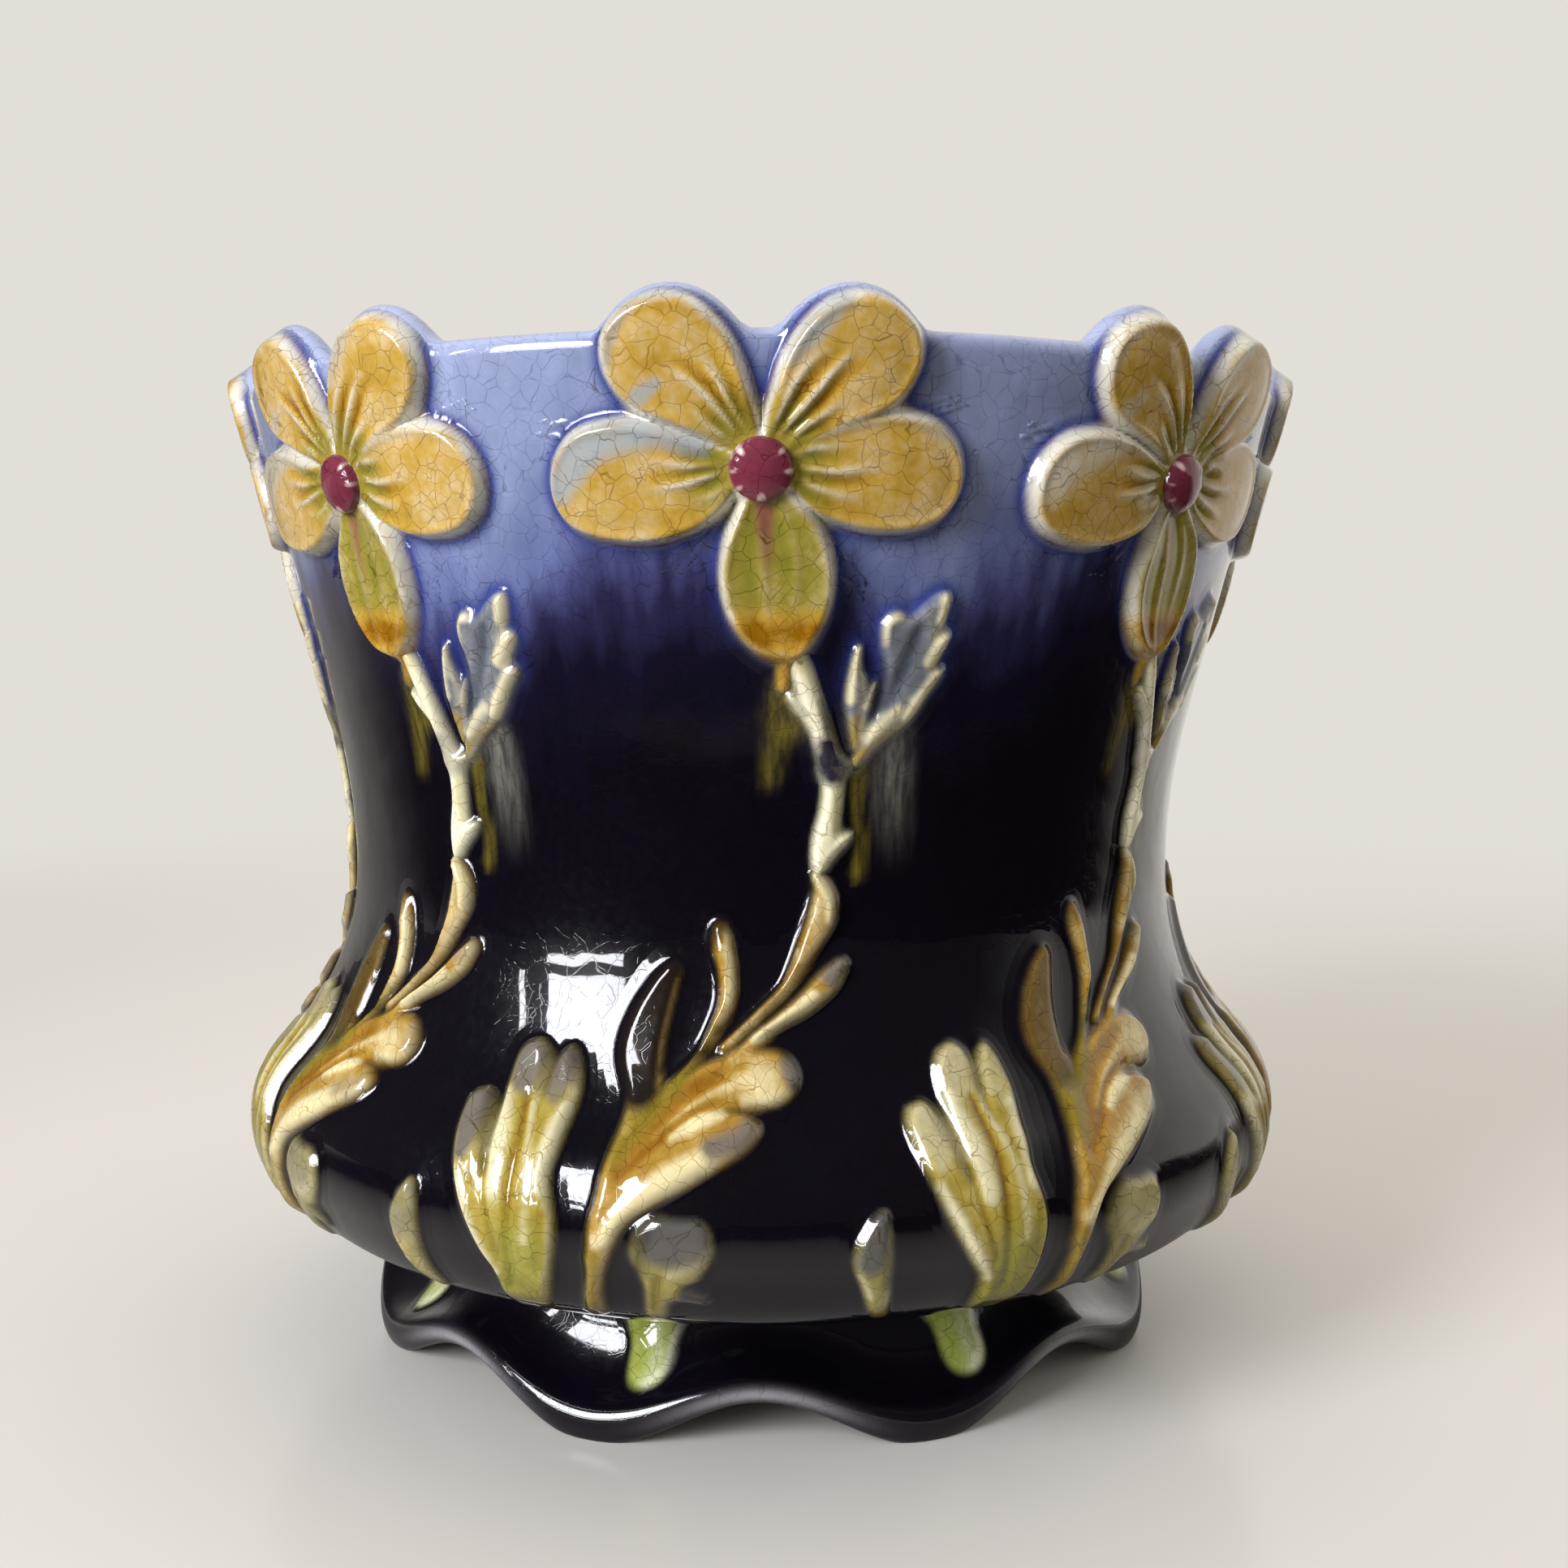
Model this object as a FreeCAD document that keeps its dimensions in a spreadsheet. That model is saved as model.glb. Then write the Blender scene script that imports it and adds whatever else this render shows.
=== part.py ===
import FreeCAD, Part
import math
import os
import Sketcher

# Majolica cachepot: a slip-cast pot luted to a frilled foot, with eight units of sprigged flowers and leaves.
# The pot stands on the XY plane with its axis on Z, and the first flower faces -Y.

doc = FreeCAD.newDocument("MajolicaCachepot")
sheet = doc.addObject("Spreadsheet::Sheet", "Sizes")

# Driving sizes in millimetres, angles in degrees
SIZES = [
    # Pot wall, measured on its outside
    ("total_height", 200),
    ("rim_height", 191.5),
    ("rim_radius", 107.5),
    ("flare_arc_radius", 130),
    ("waist_radius", 86),
    ("waist_height", 97),
    ("bulge_radius", 106),
    ("bulge_height", 47),
    ("bulge_arc_radius", 20),
    ("wall", 5),
    # Scallops of the rim, two behind each flower
    ("scallop_radius", 13),
    ("scallop_spacing", 29),
    ("cut_overrun", 4),
    ("unit_count", 8),
    # Frilled foot
    ("neck_radius", 71),
    ("foot_spread", 12),
    # Flower: eye, hub and five petals
    ("eye_height", 171),
    ("eye_radius", 5),
    ("eye_dome", 2.6),
    ("hub_radius", 6.5),
    ("hub_relief", 2.2),
    ("upper_petal_length", 30.3),
    ("upper_petal_width", 21.5),
    ("side_petal_length", 33.5),
    ("side_petal_width", 20),
    ("lower_petal_length", 30.5),
    ("lower_petal_width", 19.5),
    ("petal_relief", 3.2),
    ("relief_root", 1.8),
    ("relief_dive", 0.4),
    # Stem from the flower down to the acanthus leaf
    ("stem_offset", 9.3),
    ("stem_foot_height", 104),
    ("stem_width", 8),
    ("stem_length", 37),
    ("stem_relief", 2.4),
    # Upper leaf, beside the stem
    ("upper_leaf_offset", 15.2),
    ("upper_leaf_foot_height", 123),
    ("upper_leaf_width", 16),
    ("upper_leaf_length", 28),
    ("upper_leaf_relief", 2.2),
    # Acanthus leaf over the shoulder
    ("acanthus_offset", -27.4),
    ("acanthus_foot_height", 40),
    ("acanthus_width", 41.5),
    ("acanthus_length", 65),
    ("acanthus_relief", 3.4),
    # Side leaf on the bulge
    ("side_leaf_offset", -39),
    ("side_leaf_foot_height", 38.5),
    ("side_leaf_width", 20),
    ("side_leaf_length", 36),
    ("side_leaf_relief", 3.2),
    # Bracts low on the bulge
    ("bract_offset", -17.3),
    ("bract_foot_height", 36.5),
    ("bract_width", 11),
    ("bract_length", 16.5),
    ("bract_relief", 3),
    ("small_bract_offset", 18.5),
    ("small_bract_width", 6.5),
    # Tongues of leaf on the foot
    ("tongue_angle", -15.5),
    ("tongue_width", 9),
    ("tongue_relief", 2),
]
for row, (alias, value) in enumerate(SIZES, start=1):
    sheet.set(f"A{row}", alias.replace("_", " "))
    sheet.set(f"B{row}", str(value))
    sheet.setAlias(f"B{row}", alias)
doc.recompute()


def size(alias):
    return float(sheet.get(alias))


UNITS = int(size("unit_count"))
UNIT_ANGLE = 360 / UNITS

# Outer wall profile: underside, bulge arc, two waist arcs and a straight flare, all tangent
bulge_arc = size("bulge_arc_radius")
bulge_centre = size("bulge_radius") - bulge_arc
bulge_z = size("bulge_height")
underside_z = bulge_z - bulge_arc
waist_r = size("waist_radius")
waist_z = size("waist_height")
flare_arc = size("flare_arc_radius")
wall = size("wall")
waist_step = waist_r - bulge_centre
waist_rise = waist_z - bulge_z
waist_arc = (waist_step**2 + waist_rise**2 - bulge_arc**2) / (2 * (bulge_arc - waist_step))
shoulder_angle = math.atan2(waist_rise, waist_r + waist_arc - bulge_centre)
shoulder_z = bulge_z + bulge_arc * math.sin(shoulder_angle)
rim_back = waist_r + flare_arc - size("rim_radius")
rim_rise = size("total_height") - waist_z
flare_angle = math.atan2(rim_rise, rim_back) - math.acos(flare_arc / math.hypot(rim_back, rim_rise))
flare_z = waist_z + flare_arc * math.sin(flare_angle)


def wall_profile(z):
    """Outer radius of the pot at a height, with the outward normal as (radial, vertical)."""
    if z < shoulder_z:
        reach = math.sqrt(bulge_arc**2 - (z - bulge_z) ** 2)
        return bulge_centre + reach, (reach / bulge_arc, (z - bulge_z) / bulge_arc)
    if z < flare_z:
        arc = waist_arc if z < waist_z else flare_arc
        reach = math.sqrt(arc**2 - (z - waist_z) ** 2)
        return waist_r + arc - reach, (reach / arc, (waist_z - z) / arc)
    foot = waist_r + flare_arc * (1 - math.cos(flare_angle))
    slope = math.tan(flare_angle)
    return foot + (z - flare_z) * slope, (math.cos(flare_angle), -math.sin(flare_angle))


def on_wall(across, z, height):
    """Point a height above the wall, an arc length across from the unit's centre line."""
    radius, normal = wall_profile(z)
    turn = across / radius
    reach = radius + height * normal[0]
    return FreeCAD.Vector(reach * math.sin(turn), -reach * math.cos(turn), z + height * normal[1])


# Helpers for sketches and bodies
def origin_plane(body, role):
    return next(f for f in body.Origin.OriginFeatures if f.Role == role)


def new_sketch(body, name, role):
    sketch = body.newObject("Sketcher::SketchObject", name)
    sketch.AttachmentSupport = (origin_plane(body, role), [""])
    sketch.MapMode = "FlatFace"
    return sketch


def bind(sketch, kind, places, value, formula):
    """Add a dimension to a sketch and bind it to the sheet."""
    index = sketch.addConstraint(Sketcher.Constraint(kind, *places, value))
    sketch.setExpression(f"Constraints[{index}]", formula)


def arc_between(centre, radius, start, end):
    circle = Part.Circle(FreeCAD.Vector(*centre, 0), FreeCAD.Vector(0, 0, 1), radius)
    return Part.ArcOfCircle(circle, start, end)


def line_between(start, end):
    return Part.LineSegment(FreeCAD.Vector(*start, 0), FreeCAD.Vector(*end, 0))


# Pot body
def profile_chain(offset):
    """Points and arcs of the wall profile, moved inwards by an offset, as a dictionary."""
    down, up = waist_arc + offset, flare_arc + offset
    round_bulge = bulge_arc - offset
    centre_down, centre_up = waist_r + waist_arc, waist_r + flare_arc
    flare_start = (centre_up - up * math.cos(flare_angle), waist_z + up * math.sin(flare_angle))
    top = size("total_height") + size("cut_overrun")
    reach = (top - flare_start[1]) * math.tan(flare_angle)
    return {
        "base": (bulge_centre, bulge_z - round_bulge),
        "bulge": arc_between((bulge_centre, bulge_z), round_bulge, -math.pi / 2, shoulder_angle),
        "shoulder": arc_between((centre_down, waist_z), down, math.pi, math.pi + shoulder_angle),
        "flare": arc_between((centre_up, waist_z), up, math.pi - flare_angle, math.pi),
        "flare_start": flare_start,
        "top": (flare_start[0] + reach, top),
    }


def sketch_wall(body):
    """Half section of the pot: outer chain, inner chain one wall inside it, rim and floor."""
    sketch = new_sketch(body, "wall_section", "XZ_Plane")
    outer, inner = profile_chain(0), profile_chain(wall)
    axis_low, axis_floor = (0, outer["base"][1]), (0, inner["base"][1])
    shapes = [
        line_between(axis_low, outer["base"]),
        outer["bulge"],
        outer["shoulder"],
        outer["flare"],
        line_between(outer["flare_start"], outer["top"]),
        line_between(outer["top"], inner["top"]),
        line_between(inner["top"], inner["flare_start"]),
        inner["flare"],
        inner["shoulder"],
        inner["bulge"],
        line_between(inner["base"], axis_floor),
        line_between(axis_floor, axis_low),
    ]
    (under, bulge, shoulder, flare, side, rim, in_side, in_flare, in_shoulder, in_bulge, floor,
     axis) = [sketch.addGeometry(shape, False) for shape in shapes]
    start, end, centre = 1, 2, 3
    for first, first_end, second, second_end in [
        (under, end, bulge, start), (bulge, end, shoulder, end), (shoulder, start, flare, end),
        (flare, start, side, start), (in_side, end, in_flare, start),
        (in_flare, end, in_shoulder, start), (in_shoulder, end, in_bulge, end),
        (in_bulge, start, floor, start),
    ]:
        sketch.addConstraint(Sketcher.Constraint("Tangent", first, first_end, second, second_end))
    for first, first_end, second, second_end in [
        (side, end, rim, start), (rim, end, in_side, start), (floor, end, axis, start),
        (axis, end, under, start), (bulge, centre, in_bulge, centre),
        (flare, centre, in_flare, centre),
    ]:
        sketch.addConstraint(Sketcher.Constraint("Coincident", first, first_end, second, second_end))
    for line in (under, rim, floor):
        sketch.addConstraint(Sketcher.Constraint("Horizontal", line))
    sketch.addConstraint(Sketcher.Constraint("PointOnObject", under, start, -2))
    sketch.addConstraint(Sketcher.Constraint("PointOnObject", floor, end, -2))
    sketch.addConstraint(Sketcher.Constraint("Parallel", side, in_side))
    sketch.addConstraint(Sketcher.Constraint("Horizontal", shoulder, centre, shoulder, start))
    sketch.addConstraint(Sketcher.Constraint("Horizontal", in_flare, centre, in_flare, end))
    bind(sketch, "DistanceX", (-1, 1, bulge, centre), bulge_centre,
         "Sizes.bulge_radius - Sizes.bulge_arc_radius")
    bind(sketch, "DistanceY", (-1, 1, bulge, centre), bulge_z, "Sizes.bulge_height")
    bind(sketch, "Radius", (bulge,), bulge_arc, "Sizes.bulge_arc_radius")
    bind(sketch, "Radius", (in_bulge,), bulge_arc - wall, "Sizes.bulge_arc_radius - Sizes.wall")
    bind(sketch, "DistanceX", (-1, 1, flare, end), waist_r, "Sizes.waist_radius")
    bind(sketch, "DistanceY", (-1, 1, flare, end), waist_z, "Sizes.waist_height")
    bind(sketch, "Radius", (flare,), flare_arc, "Sizes.flare_arc_radius")
    bind(sketch, "Radius", (in_flare,), flare_arc + wall, "Sizes.flare_arc_radius + Sizes.wall")
    rim_place = FreeCAD.Vector(size("rim_radius"), size("total_height"), 0)
    rim_point = sketch.addGeometry(Part.Point(rim_place), True)
    sketch.addConstraint(Sketcher.Constraint("PointOnObject", rim_point, start, side))
    bind(sketch, "DistanceX", (-1, 1, rim_point, start), size("rim_radius"), "Sizes.rim_radius")
    bind(sketch, "DistanceY", (-1, 1, rim_point, start), size("total_height"), "Sizes.total_height")
    bind(sketch, "DistanceY", (-1, 1, side, end), outer["top"][1],
         "Sizes.total_height + Sizes.cut_overrun")
    return sketch


def sketch_scallops(body):
    """Front outline of what is cut from the rim of one unit, leaving two round scallops."""
    sketch = new_sketch(body, "rim_scallops", "XZ_Plane")
    rim, radius, apart = size("rim_height"), size("scallop_radius"), size("scallop_spacing") / 2
    middle_z = size("total_height") - radius
    top = size("total_height") + 2 * size("cut_overrun")
    half_chord = math.sqrt(radius**2 - (rim - middle_z) ** 2)
    swing = math.asin((rim - middle_z) / radius)
    half_unit = size("rim_radius") * math.tan(math.radians(UNIT_ANGLE / 2))
    shapes = [
        line_between((-half_unit, rim), (-apart - half_chord, rim)),
        arc_between((-apart, middle_z), radius, swing, math.pi - swing),
        line_between((-apart + half_chord, rim), (apart - half_chord, rim)),
        arc_between((apart, middle_z), radius, swing, math.pi - swing),
        line_between((apart + half_chord, rim), (half_unit, rim)),
        line_between((half_unit, rim), (half_unit, top)),
        line_between((half_unit, top), (-half_unit, top)),
        line_between((-half_unit, top), (-half_unit, rim)),
    ]
    left, left_hump, notch, right_hump, right, right_side, lid, left_side = [
        sketch.addGeometry(shape, False) for shape in shapes
    ]
    start, end, centre = 1, 2, 3
    for first, first_end, second, second_end in [
        (left, end, left_hump, end), (left_hump, start, notch, start), (notch, end, right_hump, end),
        (right_hump, start, right, start), (right, end, right_side, start),
        (right_side, end, lid, start), (lid, end, left_side, start), (left_side, end, left, start),
    ]:
        sketch.addConstraint(Sketcher.Constraint("Coincident", first, first_end, second, second_end))
    for line in (left, notch, right, lid):
        sketch.addConstraint(Sketcher.Constraint("Horizontal", line))
    for line in (right_side, left_side):
        sketch.addConstraint(Sketcher.Constraint("Vertical", line))
    sketch.addConstraint(Sketcher.Constraint("Equal", left_hump, right_hump))
    sketch.addConstraint(Sketcher.Constraint("Symmetric", left, start, right, end, -2))
    sketch.addConstraint(Sketcher.Constraint("Symmetric", left_hump, centre, right_hump, centre, -2))
    sketch.addConstraint(Sketcher.Constraint("Horizontal", left, start, notch, start))
    bind(sketch, "DistanceY", (-1, 1, right, end), rim, "Sizes.rim_height")
    bind(sketch, "DistanceX", (left, start, right, end), 2 * half_unit,
         "2 * Sizes.rim_radius * tan(180 deg / Sizes.unit_count)")
    bind(sketch, "DistanceY", (-1, 1, right_side, end), top,
         "Sizes.total_height + 2 * Sizes.cut_overrun")
    bind(sketch, "DistanceX", (left_hump, centre, right_hump, centre), 2 * apart,
         "Sizes.scallop_spacing")
    bind(sketch, "DistanceY", (-1, 1, right_hump, centre), middle_z,
         "Sizes.total_height - Sizes.scallop_radius")
    bind(sketch, "Radius", (right_hump,), radius, "Sizes.scallop_radius")
    return sketch


def make_pot_body():
    body = doc.addObject("PartDesign::Body", "pot_body")
    body.Label = "pot_body"
    section = sketch_wall(body)
    turned = body.newObject("PartDesign::Revolution", "turned_wall")
    turned.Profile = section
    turned.ReferenceAxis = (section, ["V_Axis"])
    turned.Angle = 360
    doc.recompute()
    outline = sketch_scallops(body)
    cut = body.newObject("PartDesign::Pocket", "rim_cut")
    cut.Profile = outline
    cut.Type = "ThroughAll"
    doc.recompute()
    around = body.newObject("PartDesign::PolarPattern", "rim_cuts")
    around.Originals = [cut]
    around.Axis = (section, ["V_Axis"])
    around.Angle = 360
    around.setExpression("Occurrences", "Sizes.unit_count")
    body.Tip = around
    doc.recompute()
    return body


# Frilled foot
FOOT_POINTS = 6  # points on a ring between an arch and the next
SPLINE_DEGREE = 3
TONGUE_RINGS = 7  # rings of the outside, down to the lip
# Rings from the seat outside, round the lip and back up inside: spread and height shares
# at an arch, then at a lobe that stands on the ground
FOOT_RING_SHARES = [
    (0.00, 1.00, 0.00, 1.00),
    (-0.03, 0.85, -0.03, 0.82),
    (0.05, 0.71, 0.06, 0.60),
    (0.30, 0.59, 0.36, 0.38),
    (0.58, 0.53, 0.74, 0.27),
    (0.84, 0.50, 1.00, 0.22),
    (0.95, 0.42, 1.08, 0.11),
    (0.82, 0.33, 0.97, -0.02),
    (0.66, 0.30, 0.79, -0.07),
    (0.48, 0.34, 0.58, 0.00),
    (0.18, 0.44, 0.20, 0.22),
    (-0.25, 0.62, -0.25, 0.50),
    (-0.52, 0.85, -0.52, 0.83),
    (-0.55, 1.00, -0.55, 1.00),
]


def foot_point(shares, turn):
    """Point of a foot ring at a turn from the first arch, in radians."""
    to_lobe = (1 - math.cos(UNITS * turn)) / 2
    spread = shares[0] + (shares[2] - shares[0]) * to_lobe
    rise = shares[1] + (shares[3] - shares[1]) * to_lobe
    radius = size("neck_radius") + spread * size("foot_spread")
    return FreeCAD.Vector(radius * math.sin(turn), -radius * math.cos(turn), rise * underside_z)


def make_foot_skirt():
    """Bell with a rolled, waved lip: one spline skin closed by a flat seat, cut flat at the ground."""
    steps = UNITS * FOOT_POINTS
    turns = [2 * math.pi * step / steps for step in range(steps)]
    poles = [[foot_point(shares, turn) for shares in FOOT_RING_SHARES] for turn in turns]
    spans = len(FOOT_RING_SHARES) - SPLINE_DEGREE
    ends = SPLINE_DEGREE + 1
    skin = Part.BSplineSurface()
    skin.buildFromPolesMultsKnots(
        poles,
        [1] * (steps + 1),
        [ends] + [1] * (spans - 1) + [ends],
        list(range(steps + 1)),
        list(range(spans + 1)),
        True,
        False,
        SPLINE_DEGREE,
        SPLINE_DEGREE,
    )
    outside, inside = [Part.Wire(skin.vIso(edge).toShape()) for edge in (0, spans)]
    seat = Part.Face(outside).cut(Part.Face(inside))
    shell = Part.Compound([skin.toShape()] + seat.Faces)
    shell.sewShape()
    solid = Part.Solid(shell.Shells[0])
    if solid.Volume < 0:
        solid.reverse()
    reach = 2 * (size("neck_radius") + size("foot_spread"))
    ground = Part.makeBox(reach, reach, underside_z, FreeCAD.Vector(-reach / 2, -reach / 2, -underside_z))
    skirt = doc.addObject("Part::Feature", "foot_skirt")
    skirt.Label = "foot_skirt"
    skirt.Shape = solid.cut(ground)
    return skirt


# Relief of clay laid on the wall
# Cross sections of a lobe: place across as a share of the half width, height as a share of the relief
ROUND_SECTION_SHARES = [
    (-1.14, 0), (-1.04, 0.5), (-0.8, 0.86), (0, 1.14), (0.8, 0.86), (1.04, 0.5), (1.14, 0),
]
RIBBED_SECTION_SHARES = [
    (-1.12, 0), (-1.04, 0.62), (-0.86, 1.02), (-0.58, 0.86), (-0.3, 0.52),
    (0, 0.98), (0.3, 0.52), (0.58, 0.86), (0.86, 1.02), (1.04, 0.62), (1.12, 0),
]
PETAL_SECTION_SHARES = [
    (-1.06, 0), (-1.03, 0.66), (-0.92, 1.08), (-0.74, 0.88), (-0.52, 0.5), (-0.36, 0.66), (-0.2, 0.42),
    (0, 0.66), (0.2, 0.42), (0.36, 0.66), (0.52, 0.5), (0.74, 0.88), (0.92, 1.08), (1.03, 0.66), (1.06, 0),
]


def clamped_skin(poles):
    """Spline surface on a grid of poles that reaches its border rows and columns."""
    degrees, mults, knots = [], [], []
    for count in (len(poles), len(poles[0])):
        degree = min(SPLINE_DEGREE, count - 1)
        spans = count - degree
        degrees.append(degree)
        mults.append([degree + 1] + [1] * (spans - 1) + [degree + 1])
        knots.append(list(range(spans + 1)))
    skin = Part.BSplineSurface()
    skin.buildFromPolesMultsKnots(poles, mults[0], mults[1], knots[0], knots[1], False, False, *degrees)
    return skin.toShape()


def relief_lobe(spine, relief, section_shares, surface=on_wall):
    """One lobe along a spine of (across, height, half width), whose ends dive below the surface."""
    root, dive = size("relief_root"), size("relief_dive")
    last = len(spine) - 1
    widest = max(half for _, _, half in spine)
    crown_rows, sole_rows = [], []
    for index, (across, rise, half) in enumerate(spine):
        first = min(max(index - 1, 0), last - 2)
        step_x, step_z = spine[first + 2][0] - spine[first][0], spine[first + 2][1] - spine[first][1]
        length = math.hypot(step_x, step_z)
        sole = -dive if index in (0, last) else -root
        height = -dive if index in (0, last) else relief * math.sqrt(half / widest)
        places = [
            (across + share * half * step_z / length, rise - share * half * step_x / length)
            for share, _ in section_shares
        ]
        lifts = [sole + share * (height - sole) for _, share in section_shares]
        crown_rows.append([surface(*place, lift) for place, lift in zip(places, lifts)])
        sole_rows.append([surface(*place, sole) for place in places])
    shell = Part.Compound([clamped_skin(crown_rows), clamped_skin(sole_rows)])
    shell.sewShape()
    lobe = Part.Solid(shell.Shells[0])
    if lobe.Volume < 0:
        lobe.reverse()
    return lobe


def wall_core():
    """The pot's outer form, filled: every relief piece is cut back to it and so seats on the wall."""
    chain = profile_chain(0)
    low, high = (0, chain["base"][1]), (0, chain["top"][1])
    lines = [
        line_between(low, chain["base"]),
        line_between(chain["flare_start"], chain["top"]),
        line_between(chain["top"], high),
        line_between(high, low),
    ]
    edges = [curve.toShape() for curve in lines + [chain["bulge"], chain["shoulder"], chain["flare"]]]
    section = Part.Face(Part.Wire(Part.__sortEdges__(edges)))
    section.rotate(FreeCAD.Vector(0, 0, 0), FreeCAD.Vector(1, 0, 0), 90)
    return section.revolve(FreeCAD.Vector(0, 0, 0), FreeCAD.Vector(0, 0, 1), 360)


def seated(lobes, *seats):
    """Lobes joined into one piece of clay and cut back to what it lies on."""
    piece = lobes[0].multiFuse(lobes[1:]) if len(lobes) > 1 else lobes[0]
    for seat in seats:
        piece = piece.cut(seat)
    return max(piece.Solids, key=lambda solid: solid.Volume)


# Leaves: lobes as spines of across, up and half width shares of the leaf's width, length and width
STEM_SHARES = [
    [(0.00, -0.03, 0.12), (0.14, 0.13, 0.26), (0.28, 0.34, 0.25), (0.44, 0.51, 0.26), (0.17, 0.66, 0.22),
     (-0.16, 0.84, 0.22), (-0.52, 1.04, 0.14)],
    [(0.16, 0.06, 0.12), (0.34, 0.13, 0.20), (0.54, 0.17, 0.18), (0.78, 0.21, 0.08)],
    [(0.14, 0.66, 0.12), (-0.16, 0.75, 0.14), (-0.40, 0.81, 0.14), (-0.66, 0.86, 0.08)],
]
UPPER_LEAF_SHARES = [
    [(-0.10, 0.00, 0.06), (-0.04, 0.14, 0.10), (-0.02, 0.28, 0.12), (0.03, 0.52, 0.11), (0.06, 0.76, 0.05)],
    [(-0.08, 0.00, 0.06), (0.08, 0.22, 0.12), (0.19, 0.45, 0.14), (0.34, 0.74, 0.14), (0.46, 0.95, 0.06)],
    [(-0.08, 0.00, 0.06), (0.16, 0.22, 0.14), (0.38, 0.46, 0.17), (0.74, 0.83, 0.16), (1.00, 1.03, 0.07)],
    [(-0.06, 0.00, 0.06), (0.22, 0.18, 0.13), (0.54, 0.44, 0.15), (0.80, 0.66, 0.13), (1.02, 0.82, 0.05)],
    [(-0.06, 0.00, 0.06), (0.22, 0.12, 0.10), (0.52, 0.30, 0.12), (0.77, 0.45, 0.11), (0.98, 0.60, 0.05)],
]
ACANTHUS_BROAD_SHARES = [
    [(0.00, 0.00, 0.03), (0.06, 0.17, 0.05), (0.15, 0.30, 0.10), (0.32, 0.40, 0.11), (0.54, 0.47, 0.11),
     (0.71, 0.49, 0.10), (0.84, 0.50, 0.05)],
    [(0.05, 0.17, 0.03), (0.13, 0.25, 0.06), (0.25, 0.30, 0.08), (0.43, 0.34, 0.085), (0.59, 0.36, 0.065),
     (0.70, 0.375, 0.03)],
    [(0.10, 0.24, 0.03), (0.14, 0.38, 0.06), (0.16, 0.49, 0.065), (0.195, 0.585, 0.07), (0.26, 0.68, 0.065),
     (0.32, 0.75, 0.03)],
    [(0.06, 0.16, 0.03), (0.14, 0.30, 0.07), (0.25, 0.42, 0.08), (0.38, 0.50, 0.06), (0.50, 0.56, 0.03)],
]
ACANTHUS_FINGER_SHARES = [
    [(0.40, 0.46, 0.03), (0.54, 0.55, 0.028), (0.67, 0.60, 0.032), (0.83, 0.67, 0.048), (0.95, 0.73, 0.05),
     (1.02, 0.79, 0.03)],
    [(0.32, 0.44, 0.03), (0.49, 0.55, 0.026), (0.63, 0.63, 0.024), (0.77, 0.72, 0.028), (0.83, 0.80, 0.044),
     (0.91, 0.89, 0.056), (0.93, 0.95, 0.05), (0.86, 1.01, 0.025)],
    [(0.20, 0.37, 0.03), (0.31, 0.50, 0.026), (0.44, 0.595, 0.026), (0.515, 0.66, 0.036), (0.53, 0.73, 0.044),
     (0.50, 0.815, 0.05), (0.51, 0.88, 0.025)],
]
SIDE_LEAF_SHARES = [
    [(0.05, 0.00, 0.10), (-0.20, 0.18, 0.15), (-0.46, 0.38, 0.20), (-0.55, 0.51, 0.21), (-0.55, 0.64, 0.20),
     (-0.43, 0.82, 0.10)],
    [(0.02, 0.00, 0.10), (-0.08, 0.18, 0.16), (-0.15, 0.38, 0.20), (-0.14, 0.63, 0.23), (-0.04, 0.83, 0.20),
     (0.06, 1.02, 0.10)],
    [(0.07, 0.02, 0.10), (0.07, 0.25, 0.16), (0.10, 0.48, 0.20), (0.22, 0.68, 0.19), (0.33, 0.87, 0.14),
     (0.37, 1.02, 0.07)],
]
BRACT_SHARES = [
    [(0.00, 0.00, 0.20), (0.10, 0.25, 0.30), (0.25, 0.50, 0.40), (0.50, 0.78, 0.42), (0.70, 1.02, 0.25)],
    [(0.00, 0.02, 0.12), (0.30, 0.10, 0.20), (0.60, 0.20, 0.20), (0.95, 0.30, 0.08)],
]
SMALL_BRACT_SHARES = [
    [(0.00, -0.05, 0.15), (-0.20, 0.20, 0.36), (-0.32, 0.50, 0.46), (-0.12, 0.78, 0.42), (0.26, 1.05, 0.15)],
]


def leaf_lobes(name, lobe_shares, section_shares, across_name=""):
    """Lobes of a leaf: its shares times the width and length named for it in the sheet."""
    wide = across_name or name
    width, length = size(f"{wide}_width"), size(f"{name}_length")
    offset, foot = size(f"{wide}_offset"), size(f"{name}_foot_height")
    lobes = []
    for spine_shares in lobe_shares:
        spine = [
            (offset + across * width, foot + up * length, half * width) for across, up, half in spine_shares
        ]
        lobes.append(relief_lobe(spine, size(f"{name}_relief"), section_shares))
    return lobes


# Flower: petals as angle from upright and the name of their sizes, then stations from hub to tip
PETALS = [(-37, "upper"), (37, "upper"), (92, "side"), (172, "lower"), (-92, "side")]
PETAL_SHARES = [
    (0.00, 0.25), (0.10, 0.30), (0.22, 0.50), (0.42, 0.85),
    (0.66, 1.06), (0.86, 1.08), (0.98, 0.88), (1.01, 0.50),
]
LOWER_PETAL_SHARES = [
    (0.00, 0.25), (0.10, 0.34), (0.24, 0.70), (0.44, 1.02),
    (0.64, 1.06), (0.82, 0.80), (0.95, 0.42), (1.02, 0.20),
]
eye_normal = wall_profile(size("eye_height"))[1]
eye_facing = FreeCAD.Vector(0, -eye_normal[0], eye_normal[1])
eye_seat = on_wall(0, size("eye_height"), size("hub_relief"))


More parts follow.
